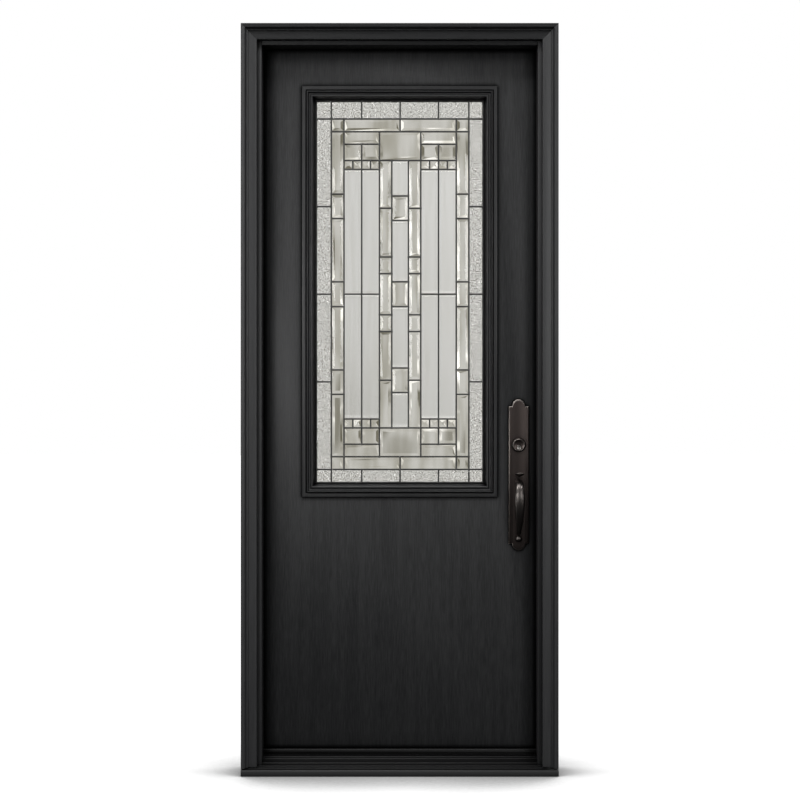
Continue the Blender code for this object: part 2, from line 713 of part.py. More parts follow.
def lite_profile(reach):
    """Moulding of the lite frame as (distance in from its outer edge, height over the slab)."""
    shares = (
        (0.0, 0.47),
        (0.032, 0.59),
        (0.196, 0.61),
        (0.227, 0.47),
        (0.270, 0.47),
        (0.296, 0.82),
        (0.344, 1.0),
        (0.402, 1.0),
        (0.455, 0.80),
        (0.529, 0.64),
        (0.614, 0.61),
        (0.656, 0.755),
        (0.735, 0.775),
        (0.788, 0.61),
        (0.825, 0.0),
        (0.852, -0.61),
    )
    face = LITE_FRAME_FACE
    tail = LITE_FRAME_LAP * 2
    points = [(0.0, GAP)]
    points += [(face * across, LITE_FRAME_PROUD * up) for across, up in shares]
    points += [
        (face, 4 * GAP - reach),
        (face, GAP - reach),
        (tail, GAP - reach),
        (tail, GAP),
    ]
    return points


def lite_ring(profile, face_y, outward):
    """A moulding run round the lite with mitred corners."""
    rings = []
    for side_x, side_z in ((-1, -1), (1, -1), (1, 1), (-1, 1)):
        ring = []
        for inset, height in profile:
            across = side_x * (LITE_WIDTH / 2 - inset)
            up = LITE_CENTRE_HEIGHT + side_z * (LITE_HEIGHT / 2 - inset)
            ring.append(Vector((across, face_y + outward * height, up)))
        rings.append(ring)
    return rings


def build_lite_frames():
    """The moulded frames outside and inside, clamping the glass between them."""
    outer = lite_ring(lite_profile(GLASS_SETBACK), SLAB_OUTER_Y, -1)
    inside_reach = SLAB_INNER_Y - GLASS_BACK_Y
    inner = lite_ring(lite_profile(inside_reach), SLAB_INNER_Y, 1)
    outside = add_mesh("lite_frame_outside", skin_mesh("lite_frame_outside", outer, True), "black_fibreglass")
    inside = add_mesh("lite_frame_inside", skin_mesh("lite_frame_inside", inner, True), "black_fibreglass")
    return outside, inside


def mirrored_splits(splits, end):
    """Heights that part a column, mirrored below the centre, between its two ends."""
    upper = [height for height in splits if height < end]
    return [-end] + [-height for height in reversed(upper)] + upper + [end]


def column(near, far, heights, kind):
    """The lights of one column, from its foot to its head."""
    return [(near, far, low, high, kind) for low, high in zip(heights, heights[1:])]


def lights_of_one_half():
    """Every light right of the leading's centre, as (x0, x1, z0, z1, kind)."""
    edge_x = PANE_HALF_X - CAME_BORDER
    edge_z = PANE_HALF_Z - CAME_BORDER
    lights = []
    border = [-BORDER_Z, -BORDER_Z / 2, 0, BORDER_Z / 2, BORDER_Z]
    lights += column(BORDER_X, edge_x, border, "textured")
    for side in (-1, 1):
        outer, inner = sorted((side * edge_z, side * BORDER_Z))
        for near, far in ((0, SQUARE_X), (SQUARE_X, BORDER_X), (BORDER_X, edge_x)):
            lights.append((near, far, outer, inner, "textured"))
        outer, inner = sorted((side * BORDER_Z, side * BAND_Z))
        for near, far in ((0, NARROW_X), (NARROW_X, BORDER_X)):
            lights.append((near, far, outer, inner, "bevelled"))
        outer, inner = sorted((side * BAND_Z, side * HEAD_Z))
        lights.append((INNER_X, NARROW_X, outer, inner, "bevelled"))
        outer, inner = sorted((side * HEAD_Z, side * CROSS_Z))
        lights.append((INNER_X, SQUARE_X, outer, inner, "bevelled"))
        lights.append((SQUARE_X, NARROW_X, outer, inner, "bevelled"))
        outer, inner = sorted((side * CROSS_Z, side * TALL_Z))
        step = (NARROW_X - INNER_X) / 4
        for index in range(4):
            near = INNER_X + index * step
            lights.append((near, near + step, outer, inner, "bevelled"))
    for near, far in ((INNER_X, SQUARE_X), (SQUARE_X, NARROW_X)):
        lights += column(near, far, [-TALL_Z, 0, TALL_Z], "plain")
    lights += column(NARROW_X, BORDER_X, mirrored_splits(NARROW_SPLITS_Z, BAND_Z), "bevelled")
    lights += column(CENTRE_X, INNER_X, mirrored_splits(INNER_SPLITS_Z, CROSS_Z), "bevelled")
    return lights


def all_lights():
    """Every light of the leaded panel, in door coordinates."""
    halves = lights_of_one_half()
    lights = list(halves)
    lights += [(-far, -near, low, high, kind) for near, far, low, high, kind in halves]
    for side in (-1, 1):
        low, high = sorted((side * BAND_Z, side * CROSS_Z))
        lights.append((-INNER_X, INNER_X, low, high, "bevelled"))
    heights = mirrored_splits(CENTRE_SPLITS_Z, CROSS_Z)
    for index, light in enumerate(column(-CENTRE_X, CENTRE_X, heights, "plain")):
        kind = "bevelled" if index % 2 else "plain"
        lights.append((*light[:4], kind))
    edge_x = PANE_HALF_X - CAME_BORDER
    edge_z = PANE_HALF_Z - CAME_BORDER
    placed = []
    for left, right, low, high, kind in lights:
        left = -edge_x if left <= -edge_x + CAME_WIDTH else left + PATTERN_SHIFT
        right = edge_x if right >= edge_x - CAME_WIDTH else right + PATTERN_SHIFT
        low = -edge_z if low <= -edge_z + CAME_WIDTH else low - PATTERN_DROP
        high = edge_z if high >= edge_z - CAME_WIDTH else high - PATTERN_DROP
        placed.append((left, right, low + LITE_CENTRE_HEIGHT, high + LITE_CENTRE_HEIGHT, kind))
    return placed


def light_outline(light, margin):
    """A light's rectangle, drawn in by a margin from the middles of its cames."""
    left, right, low, high, _ = light
    return [
        (left + margin, low + margin),
        (right - margin, low + margin),
        (right - margin, high - margin),
        (left + margin, high - margin),
    ]


def bevel_rings(light):
    """Rings of one bevelled light: its foot in the sheet, its edge, and its raised middle."""
    edge = light_outline(light, CAME_WIDTH / 2 + GAP)
    middle = light_outline(light, CAME_WIDTH / 2 + GAP + BEVEL_WIDTH)
    levels = ((edge, BEVEL_RISE), (edge, 0), (middle, -BEVEL_RISE))
    return [[Vector((x, GLASS_FRONT_Y + depth, z)) for x, z in ring] for ring, depth in levels]


def build_glass():
    """The glazed sheet with its bevelled lights raised, and a came lattice on each face."""
    held = PANE_HALF_X + GLASS_HELD, PANE_HALF_Z + GLASS_HELD
    low = (-held[0], GLASS_FRONT_Y, LITE_CENTRE_HEIGHT - held[1])
    high = (held[0], GLASS_BACK_Y, LITE_CENTRE_HEIGHT + held[1])
    glass = add_mesh("leaded_glass", box_mesh("leaded_glass", low, high), "clear_glass")
    lights = all_lights()
    raised = bmesh.new()
    for light in lights:
        if light[4] == "bevelled":
            raised.from_mesh(skin_mesh("bevel", bevel_rings(light)))
    combine(glass, [mesh_from("bevels", raised)], "UNION")

    centre = (0, LITE_CENTRE_HEIGHT)
    border = rectangle(PANE_HALF_X - GAP, PANE_HALF_Z - GAP, centre)
    holes = [light_outline(light, CAME_WIDTH / 2) for light in lights]
    front = extruded_mesh(
        "came_lattice_outside", [border] + holes,
        GAP - GLASS_FRONT_Y, GAP - GLASS_FRONT_Y + CAME_THICKNESS, TOWARDS_OUTSIDE,
    )
    lattice = add_mesh("came_lattice_outside", front, "dark_came")
    back = extruded_mesh(
        "came_lattice_inside", [border] + holes,
        -GLASS_BACK_Y - GAP - CAME_THICKNESS, -GLASS_BACK_Y - GAP, TOWARDS_OUTSIDE,
    )
    return glass, lattice, add_mesh("came_lattice_inside", back, "dark_came")


def leaf_mesh(name, plate_low_x, plate_high_x, own_knuckles):
    """A hinge leaf with its own knuckles, around the pin axis at the origin."""
    half = HINGE_HEIGHT / 2
    root = -KNUCKLE_STANDOFF + GAP
    plate = box_mesh(name, (plate_low_x, -KNUCKLE_STANDOFF - LEAF_REACH, -half), (plate_high_x, root, half))
    leaf = add_mesh(name, plate, "steel")
    pitch = HINGE_HEIGHT / KNUCKLE_COUNT
    webs, barrels = [], bmesh.new()
    for index in own_knuckles:
        low = -half + index * pitch + (GAP / 2 if index else 0)
        high = -half + (index + 1) * pitch - (GAP / 2 if index < KNUCKLE_COUNT - 1 else 0)
        webs.append(((plate_low_x, root - GAP * 3, low), (plate_high_x, 0, high)))
        bmesh.ops.create_cone(
            barrels, cap_ends=True, segments=10, radius1=KNUCKLE_RADIUS, radius2=KNUCKLE_RADIUS,
            depth=high - low, matrix=Matrix.Translation((0, 0, (low + high) / 2)),
        )
    bore = bmesh.new()
    bmesh.ops.create_cone(
        bore, cap_ends=True, segments=8, radius1=PIN_RADIUS + SLIDE_GAP, radius2=PIN_RADIUS + SLIDE_GAP,
        depth=HINGE_HEIGHT * 1.2,
    )
    combine(leaf, [boxes_mesh("webs", webs), mesh_from("barrels", barrels)], "UNION")
    combine(leaf, [mesh_from("bore", bore)], "DIFFERENCE")
    return baked(leaf, name)


def build_hinges():
    """Butt hinges: a frame leaf, a door leaf and a pin at each height."""
    jamb_face = -RABBET_HALF - HINGE_X
    slab_face = -SLAB_HALF - HINGE_X
    frame_leaf = leaf_mesh("frame_leaf", jamb_face - LEAF_THICKNESS, jamb_face, range(0, KNUCKLE_COUNT, 2))
    door_leaf = leaf_mesh("door_leaf", slab_face, slab_face + LEAF_THICKNESS, range(1, KNUCKLE_COUNT, 2))
    half = HINGE_HEIGHT / 2
    head = half + GAP
    profile = [
        (0, head + PIN_HEAD_HEIGHT),
        (PIN_HEAD_RADIUS * 0.8, head + PIN_HEAD_HEIGHT * 0.7),
        (PIN_HEAD_RADIUS, head),
        (PIN_RADIUS, head),
        (PIN_RADIUS, -half),
        (0, -half),
    ]
    door_leaves = []
    for number, height in enumerate(reversed(hinge_heights()), 1):
        place = Vector((HINGE_X, HINGE_Y, height))
        leaf = add_mesh(f"hinge_{number}_frame_leaf", frame_leaf, "steel")
        leaf.location = place
        leaf = add_mesh(f"hinge_{number}_door_leaf", door_leaf, "steel")
        leaf.location = place
        door_leaves.append(leaf)
        turned(f"hinge_{number}_pin", profile, place, Matrix.Identity(4), "steel", 8)
    return door_leaves


def plate_outline(inset):
    """The handle plate: square shoulders with a round lobe at each end."""
    half = PLATE_HALF_WIDTH - inset
    middle = (PLATE_TOP + PLATE_BOTTOM) / 2
    shoulder = (PLATE_TOP - PLATE_BOTTOM) / 2 - inset
    lobe = LOBE_HALF_WIDTH - inset
    rise = LOBE_RISE / LOBE_HALF_WIDTH
    top = [(half, shoulder)]
    for across, up in arc((0, 0), lobe, 0, 180, 12):
        top.append((across, shoulder + up * rise))
    top.append((-half, shoulder))
    bottom = [(-across, -up) for across, up in top]
    return [(HANDLE_X + across, middle + up) for across, up in top + bottom]


def build_handle_plate():
    """Chamfered plate with a slot for the thumb piece."""
    levels = (
        (0.0, 0.0),
        (0.0, PLATE_THICKNESS - PLATE_CHAMFER / 2),
        (PLATE_CHAMFER, PLATE_THICKNESS),
    )
    rings = []
    for inset, height in levels:
        depth = SLAB_OUTER_Y - GAP - height
        rings.append([Vector((x, depth, z)) for x, z in plate_outline(inset)])
    plate = add_mesh("handle_plate", skin_mesh("handle_plate", rings), "dark_bronze")
    half_x, half_z = THUMB_SLOT_HALF_WIDTH, THUMB_SLOT_HALF_HEIGHT
    slot = box_mesh(
        "thumb_slot",
        (HANDLE_X - half_x, PLATE_FACE_Y - PLATE_THICKNESS, THUMB_HEIGHT - half_z),
        (HANDLE_X + half_x, SLAB_OUTER_Y, THUMB_HEIGHT + half_z),
    )
    return combine(plate, [slot], "DIFFERENCE")


OUTWARD = Matrix.Rotation(math.radians(90), 4, "X")     # object Z points outside
INWARD = Matrix.Rotation(math.radians(-90), 4, "X")     # object Z points inside


def build_cylinder():
    """Domed collar with the key plug low in it."""
    rim = COLLAR_RADIUS
    profile = [
        (0, COLLAR_PROUD * 0.82),
        (rim * 0.66, COLLAR_PROUD * 0.82),
        (rim * 0.74, COLLAR_PROUD),
        (rim * 0.84, COLLAR_PROUD * 0.94),
        (rim * 0.95, COLLAR_PROUD * 0.60),
        (rim, COLLAR_PROUD * 0.20),
        (rim, 0),
        (0, 0),
    ]
    seat_y = PLATE_FACE_Y - GAP
    place = (HANDLE_X, seat_y, COLLAR_HEIGHT)
    collar = turned("cylinder_collar", profile, place, OUTWARD, "dark_bronze", 20)
    face_y = seat_y - COLLAR_PROUD * 0.82
    well = bmesh.new()
    radius = PLUG_RADIUS + SLIDE_GAP
    well_place = Matrix.Translation((HANDLE_X, face_y, PLUG_HEIGHT)) @ OUTWARD
    bmesh.ops.create_cone(
        well, cap_ends=True, segments=16, radius1=radius, radius2=radius,
        depth=2 * (PLUG_DEPTH + GAP), matrix=well_place,
    )
    combine(collar, [mesh_from("plug_well", well)], "DIFFERENCE")

    plug_profile = [
        (0, PLUG_PROUD),
        (PLUG_RADIUS - PLUG_PROUD, PLUG_PROUD),
        (PLUG_RADIUS, 0),
        (PLUG_RADIUS, -PLUG_DEPTH),
        (0, -PLUG_DEPTH),
    ]
    plug = turned("key_plug", plug_profile, (HANDLE_X, face_y, PLUG_HEIGHT), OUTWARD, "steel", 16)
    keyway = box_mesh(
        "keyway",
        (HANDLE_X - KEYWAY_WIDTH / 2, face_y - 2 * PLUG_PROUD, PLUG_HEIGHT - KEYWAY_HEIGHT / 2),
        (HANDLE_X + KEYWAY_WIDTH / 2, face_y + KEYWAY_DEPTH, PLUG_HEIGHT + KEYWAY_HEIGHT / 2),
    )
    combine(plug, [keyway], "DIFFERENCE")
    return collar, plug


def oval(centre, half_across, half_up, steps, up_axis=Vector((0, 0, 1))):
    """A ring of points around a centre, across X and along another axis."""
    ring = []
    for step in range(steps):
        angle = 2 * math.pi * step / steps
        across = Vector((half_across * math.cos(angle), 0, 0))
        ring.append(Vector(centre) + across + up_axis * (half_up * math.sin(angle)))
    return ring


def build_thumb_piece():
    """A shank out of the plate's slot that spreads into a dished pad."""
    stations = (
        (-THUMB_INSET, 0.0035, 0.0055, 0.0),
        (0.0100, 0.0035, 0.0050, 0.0),
        (0.0200, 0.0045, 0.0040, -0.0004),
        (0.0280, 0.0085, 0.0032, 0.0004),
        (0.0340, 0.0125, 0.0027, 0.0018),
        (0.0420, 0.0142, 0.0025, 0.0038),
        (0.0480, 0.0125, 0.0023, 0.0060),
        (0.0515, 0.0075, 0.0018, 0.0074),
    )
    rings = []
    for proud, half_across, half_up, lift in stations:
        centre = (HANDLE_X, PLATE_FACE_Y - proud, THUMB_HEIGHT + lift)
        rings.append(oval(centre, half_across, half_up, 10))
    return add_mesh("thumb_piece", skin_mesh("thumb_piece", rings), "dark_bronze")


def grip_section(turn):
    """Place and half sizes of the grip at a share of its bow, from 0 at the top to 1 below."""
    angle = math.pi * turn
    down = ((1 - math.cos(angle)) / 2) ** 1.5
    proud = GRIP_STANDOFF * max(math.sin(angle), 0.0) ** 0.9
    swell = 0.35                        # the grip is widest this far down
    if down < swell:
        share = down / swell
        half_across = GRIP_HALF_WIDTH * (0.72 + 0.28 * math.sin(share * math.pi / 2))
    else:
        share = (down - swell) / (1 - swell)
        half_across = GRIP_HALF_WIDTH * (1 - 0.66 * share ** 1.6)
    half_thick = GRIP_HALF_THICKNESS * (1 - 0.38 * down)
    return proud, GRIP_TOP - GRIP_LENGTH * down, half_across, half_thick


def build_grip():
    """The bowed grip, lofted along its path from plate to plate."""
    sections = 16
    places = [grip_section(index / sections) for index in range(sections + 1)]
    rings = []
    for index, (proud, height, half_across, half_thick) in enumerate(places):
        before = places[max(index - 1, 0)]
        after = places[min(index + 1, sections)]
        along = Vector((0, -(after[0] - before[0]), after[1] - before[1]))
        if index in (0, sections):
            along = Vector((0, -1 if index == 0 else 1, 0))
        along.normalize()
        across_path = along.cross(Vector((1, 0, 0)))
        centre = (HANDLE_X, PLATE_FACE_Y - GAP - proud, height)
        rings.append(oval(centre, half_across, half_thick, 12, across_path))
    return add_mesh("handle_grip", skin_mesh("handle_grip", rings), "dark_bronze")


def build_foot_screw():
    """The domed screw under the grip's foot."""
    dome = arc((0, 0), 1.0, 90, 0, 5)
    profile = [(SCREW_RADIUS * across, SCREW_PROUD * up) for across, up in dome]
    profile[0] = (0, SCREW_PROUD)
    profile.append((0, 0))
    place = (HANDLE_X, PLATE_FACE_Y - GAP, SCREW_HEIGHT)
    return turned("grip_foot_screw", profile, place, OUTWARD, "dark_bronze", 16)


def build_inside_handle():
    """A plain plate inside, with a round knob and a thumb turn."""
    lobe = INSIDE_PLATE_HALF_WIDTH
    top = arc((0, INSIDE_PLATE_HALF_HEIGHT - lobe), lobe, 0, 180, 8)
    bottom = [(-across, -up) for across, up in top]
    outline = [(HANDLE_X + across, LOCK_MIDDLE + up) for across, up in top + bottom]
    start = -INSIDE_FACE_Y
    mesh = extruded_mesh("inside_plate", [outline], start, start + INSIDE_PLATE_THICKNESS, TOWARDS_OUTSIDE)
    plate = add_mesh("inside_plate", mesh, "dark_bronze")

    neck, ball = KNOB_NECK_RADIUS, KNOB_RADIUS
    profile = [(0, KNOB_PROUD)]
    for across, up in arc((0, 0), 1.0, 70, -50, 6):
        profile.append((ball * across, KNOB_PROUD - ball * KNOB_FLATNESS * (1 - up)))
    profile += [
        (neck, KNOB_PROUD * 0.36),
        (neck, 0.0080),
        (neck * 1.8, 0.0030),
        (neck * 1.8, 0),
        (0, 0),
    ]
    seat_y = INSIDE_FACE_Y + GAP
    knob = turned("inside_knob", profile, (HANDLE_X, seat_y, KNOB_HEIGHT), INWARD, "dark_bronze", 16)

    base = [
        (0, TURN_PROUD * 0.30),
        (TURN_BASE_RADIUS * 0.8, TURN_PROUD * 0.30),
        (TURN_BASE_RADIUS, TURN_PROUD * 0.12),
        (TURN_BASE_RADIUS, 0),
        (0, 0),
    ]
    turn = turned("inside_thumb_turn", base, (HANDLE_X, seat_y, PLUG_HEIGHT), INWARD, "dark_bronze", 16)
    blade = box_mesh(
        "turn_blade",
        (HANDLE_X - TURN_HALF_WIDTH, seat_y + TURN_PROUD * 0.20, PLUG_HEIGHT - TURN_HALF_HEIGHT),
        (HANDLE_X + TURN_HALF_WIDTH, seat_y + TURN_PROUD, PLUG_HEIGHT + TURN_HALF_HEIGHT),
    )
    combine(turn, [blade], "UNION")
    return plate, knob, turn


def bolt_outline(height, bolt_height, clearance):
    """A bolt's section seen from the edge, as (depth, height)."""
    return rectangle(BOLT_THICKNESS / 2 + clearance, bolt_height / 2 + clearance, (SLAB_MIDDLE_Y, height))


def build_lock_edge():
    """Faceplate and drawn-back bolts on the slab, and the strike on the jamb."""
    holes = [
        bolt_outline(PLUG_HEIGHT, DEADBOLT_HEIGHT, SLIDE_GAP),
        bolt_outline(KNOB_HEIGHT, LATCH_HEIGHT, SLIDE_GAP),
    ]
    outline = rectangle(FACEPLATE_HALF_WIDTH, FACEPLATE_HALF_HEIGHT, (SLAB_MIDDLE_Y, LOCK_MIDDLE))
    mesh = extruded_mesh(
        "lock_faceplate", [outline] + holes, SLAB_HALF - FACEPLATE_THICKNESS, SLAB_HALF, ALONG_X,
    )
    faceplate = add_mesh("lock_faceplate", mesh, "steel")

    bolts = []
    for name, height, tall, length in (
        ("deadbolt", PLUG_HEIGHT, DEADBOLT_HEIGHT, DEADBOLT_LENGTH),
        ("latch_bolt", KNOB_HEIGHT, LATCH_HEIGHT, LATCH_LENGTH),
    ):
        tip = SLAB_HALF - BOLT_INSET
        low = (tip - length, SLAB_MIDDLE_Y - BOLT_THICKNESS / 2, height - tall / 2)
        high = (tip, SLAB_MIDDLE_Y + BOLT_THICKNESS / 2, height + tall / 2)
        bolts.append(add_mesh(name, box_mesh(name, low, high), "steel"))

    wide = [
        bolt_outline(PLUG_HEIGHT, DEADBOLT_HEIGHT, STRIKE_HOLE_CLEARANCE),
        bolt_outline(KNOB_HEIGHT, LATCH_HEIGHT, STRIKE_HOLE_CLEARANCE),
    ]
    near, far = JAMB_DEPTH - STRIKE_REACH, JAMB_DEPTH
    low, high = LOCK_MIDDLE - STRIKE_HALF_HEIGHT, LOCK_MIDDLE + STRIKE_HALF_HEIGHT
    lip_half = LATCH_HEIGHT / 2 + STRIKE_HOLE_CLEARANCE
    outline = [
        (near, low), (far, low),
        (far, KNOB_HEIGHT - lip_half), (far + STRIKE_LIP, KNOB_HEIGHT - lip_half),
        (far + STRIKE_LIP, KNOB_HEIGHT + lip_half), (far, KNOB_HEIGHT + lip_half),
        (far, high), (near, high),
    ]
    start = RABBET_HALF
    mesh = extruded_mesh("strike_plate", [outline] + wide, start, start + STRIKE_THICKNESS, ALONG_X)
    add_mesh("strike_plate", mesh, "steel")
    return faceplate, bolts[0], bolts[1]


def build_door():
    """Everything that swings, parented to an empty on the hinge axis."""
    slab = build_slab()
    sweep = build_sweep()
    lite_frames = build_lite_frames()
    glazing = build_glass()
    door_leaves = build_hinges()
    plate = build_handle_plate()
    collar, plug = build_cylinder()
    thumb = build_thumb_piece()
    grip = build_grip()
    screw = build_foot_screw()
    inside_plate, knob, turn = build_inside_handle()
    faceplate, deadbolt, latch = build_lock_edge()

    swing = pivot("door_swing_axis", (HINGE_X, HINGE_Y, SLAB_BOTTOM + SLAB_HEIGHT / 2))
    carry(swing, slab, sweep, *lite_frames, *glazing, *door_leaves)
    carry(swing, plate, collar, grip, screw, inside_plate, faceplate)
    movements = (
        ("thumb_axis", (HANDLE_X, THUMB_PIVOT_Y, THUMB_HEIGHT), (thumb,)),
        ("lock_axis", (HANDLE_X, SLAB_MIDDLE_Y, PLUG_HEIGHT), (plug, turn, deadbolt)),
        ("knob_axis", (HANDLE_X, SLAB_MIDDLE_Y, KNOB_HEIGHT), (knob, latch)),
    )
    for name, place, pieces in movements:
        axis = pivot(name, place)
        carry(axis, *pieces)
        carry(swing, axis)


def smooth_round_pieces():
    """Smooth shading with sharp edges kept, on turned and lofted pieces."""
    for obj in DOOR_UNIT.objects:
        if obj.type == "MESH" and obj.name in {"handle_grip", "thumb_piece"}:
            obj.data.shade_smooth()
            obj.data.set_sharp_from_angle(angle=math.radians(40))


build_jambs()
build_casing()
build_sill()
build_weatherstrips()
build_door()
smooth_round_pieces()
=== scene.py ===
"""Looks of a prehung entry door with leaded glass: fine mouldings, lights, cames, handleset and finishes.

Metres, +Z up, +X to the right seen from outside, +Y into the building, as the frame has it.
"""
import math
import random

import bmesh
import bpy
from mathutils import Matrix, Vector, noise


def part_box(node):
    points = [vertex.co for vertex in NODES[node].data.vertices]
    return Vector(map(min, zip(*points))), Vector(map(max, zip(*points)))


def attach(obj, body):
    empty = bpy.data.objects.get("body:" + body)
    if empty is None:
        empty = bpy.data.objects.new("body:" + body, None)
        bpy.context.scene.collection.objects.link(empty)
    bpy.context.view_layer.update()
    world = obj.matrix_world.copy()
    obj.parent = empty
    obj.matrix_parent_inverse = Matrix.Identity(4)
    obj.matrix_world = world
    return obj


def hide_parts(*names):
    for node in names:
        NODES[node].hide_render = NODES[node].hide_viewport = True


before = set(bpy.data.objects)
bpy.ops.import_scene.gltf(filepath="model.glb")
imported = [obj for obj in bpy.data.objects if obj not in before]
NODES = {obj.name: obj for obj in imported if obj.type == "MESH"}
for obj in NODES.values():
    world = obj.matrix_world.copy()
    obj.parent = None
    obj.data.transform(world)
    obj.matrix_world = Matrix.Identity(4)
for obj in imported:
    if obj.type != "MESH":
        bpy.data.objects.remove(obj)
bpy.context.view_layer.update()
random.seed(7)

# Places taken from the frame
SLAB_LOW, SLAB_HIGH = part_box("door_slab")
LITE_LOW, LITE_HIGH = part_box("lite_frame_outside")
LITE_INSIDE_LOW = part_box("lite_frame_inside")[0]
GLASS_LOW, GLASS_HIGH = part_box("leaded_glass")
LEAD_LOW, LEAD_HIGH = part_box("came_lattice_outside")
CASING_LOW, CASING_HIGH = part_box("brickmould_right")
CASING_HEAD_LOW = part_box("brickmould_head")[0]
DECK_LOW, DECK_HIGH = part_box("sill_deck")
PLATE_LOW, PLATE_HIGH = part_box("handle_plate")
COLLAR_LOW, COLLAR_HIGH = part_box("cylinder_collar")
PLUG_LOW, PLUG_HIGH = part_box("key_plug")
SCREW_LOW, SCREW_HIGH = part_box("grip_foot_screw")

GAP = 0.0003               # between neighbouring pieces
SLIVER = 0.00001           # keeps the finer pieces inside the CAD pieces
OUTWARD = Matrix.Rotation(math.radians(90), 4, "X")     # object Z points outside
MIRROR_X = Matrix.Scale(-1, 4, (1, 0, 0))


def middle(low, high):
    """Halfway between two places."""
    return (low + high) / 2


# Materials


BLACK, WHITE = (0.0, 0.0, 0.0), (1.0, 1.0, 1.0)
NOISE_LOW, NOISE_HIGH = 0.3, 0.7            # nearly all of a noise lies between these
MIX_SHARE, MIX_FIRST, MIX_SECOND = 0, 6, 7  # the Mix node's inputs for colours
MIX_RESULT = 2
SHADE_SAMPLES = 8


def new_material(name, colour, roughness, metallic=0.0):
    """A Principled material, with its tree and shader to hand."""
    material = bpy.data.materials.new(name)
    material.use_nodes = True
    tree = material.node_tree
    shader = tree.nodes["Principled BSDF"]
    shader.inputs["Base Color"].default_value = (*colour, 1.0)
    shader.inputs["Roughness"].default_value = roughness
    shader.inputs["Metallic"].default_value = metallic
    return material, tree, shader


def node(tree, kind, inputs=(), **settings):
    """A node with its settings, and its inputs given as values or as sockets to link."""
    made = tree.nodes.new(kind)
    for key, value in settings.items():
        setattr(made, key, value)
    for key, value in dict(inputs).items():
        if isinstance(value, bpy.types.NodeSocket):
            tree.links.new(value, made.inputs[key])
        else:
            made.inputs[key].default_value = value
    return made


def stretched(tree, scale):
    """Places on the object in metres, stretched by a scale for each axis."""
    place = node(tree, "ShaderNodeTexCoord").outputs["Object"]
    return node(tree, "ShaderNodeMapping", {"Vector": place, "Scale": scale}).outputs["Vector"]


def noise_value(tree, scale, detail, roughness=0.55, distortion=0.0):
    """Noise from 0 to 1 with a grain of one metre over the scale of each axis."""
    inputs = {
        "Vector": stretched(tree, scale), "Scale": 1.0, "Detail": detail,
        "Roughness": roughness, "Distortion": distortion,
    }
    return node(tree, "ShaderNodeTexNoise", inputs).outputs["Fac"]


def ranged(tree, value, from_low, from_high, to_low, to_high):
    """A value mapped smoothly from one range to another, clamped."""
    inputs = {
        "Value": value, "From Min": from_low, "From Max": from_high,
        "To Min": to_low, "To Max": to_high,
    }
    return node(tree, "ShaderNodeMapRange", inputs, interpolation_type="SMOOTHSTEP").outputs["Result"]


def swung(tree, noise_share, value, swing):
    """A value that swings to both sides with a noise."""
    return ranged(tree, noise_share, NOISE_LOW, NOISE_HIGH, value - swing, value + swing)


def mixed(tree, share, first, second):
    """Two colours mixed by a share."""
    made = node(tree, "ShaderNodeMix", data_type="RGBA")
    for key, value in ((MIX_SHARE, share), (MIX_FIRST, first), (MIX_SECOND, second)):
        if isinstance(value, bpy.types.NodeSocket):
            tree.links.new(value, made.inputs[key])
        else:
            made.inputs[key].default_value = value if key == MIX_SHARE else (*value, 1.0)
    return made.outputs[MIX_RESULT]


def combined(tree, first, second, operation="ADD"):
    """Two values added up, or put together by another operation."""
    return node(tree, "ShaderNodeMath", {0: first, 1: second}, operation=operation).outputs[0]


def link(tree, socket, shader, name):
    """Lead a socket into one of the shader's inputs."""
    tree.links.new(socket, shader.inputs[name])


def bumped(tree, shader, height, depth):
    """A bump of a real depth in metres from a height of 0 to 1."""
    made = node(tree, "ShaderNodeBump", {"Height": height, "Distance": depth, "Strength": 1.0})
    link(tree, made.outputs["Normal"], shader, "Normal")


def open_share(tree, reach, power):
    """How open a place is, from 0 in a deep groove to 1 on a free face."""
    share = node(tree, "ShaderNodeAmbientOcclusion", {"Distance": reach}, samples=SHADE_SAMPLES)
    return combined(tree, share.outputs["AO"], power, "POWER")


def colour_with_painted_shade(tree, shader, free, colour):
    """Lead a colour to the shader, darker where a place is less open: painted shade."""
    link(tree, mixed(tree, free, BLACK, colour), shader, "Base Color")


def grained_black(name, colour, lift, roughness, grain_scale, grain_depth, sheen, sheen_swing, hollow,
                  contact_shadow=None):
    """Black paint over a fine grain, with slightly duller and paler streaks, and painted shade on its
    colour and gloss in hollows and beside raised parts.
    """
    material, tree, shader = new_material(name, colour, roughness)
    fine = noise_value(tree, grain_scale, 5.0, 0.62, 0.3)
    broad = noise_value(tree, tuple(scale / 9 for scale in grain_scale), 3.0)
    # Darker where less open, and beside raised parts: painted shade and a painted contact shadow.
    free = open_share(tree, *hollow)
    if contact_shadow:
        free = combined(tree, free, open_share(tree, *contact_shadow), "MULTIPLY")
    pale = tuple(channel * lift for channel in colour)
    colour_with_painted_shade(tree, shader, free, mixed(tree, ranged(tree, fine, 0.35, 0.70, 0.0, 1.0), colour, pale))
    streaks = combined(tree, fine, broad)
    shine = ranged(tree, streaks, 0.75, 1.25, sheen - sheen_swing, sheen + sheen_swing)
    # The gloss is painted darker in hollows as well: painted shade.
    link(tree, combined(tree, shine, free, "MULTIPLY"), shader, "Specular IOR Level")
    rough = combined(tree, swung(tree, fine, 0.0, 0.05), swung(tree, broad, 0.0, 0.03))
    link(tree, combined(tree, rough, roughness), shader, "Roughness")
    bumped(tree, shader, fine, grain_depth)
    return material


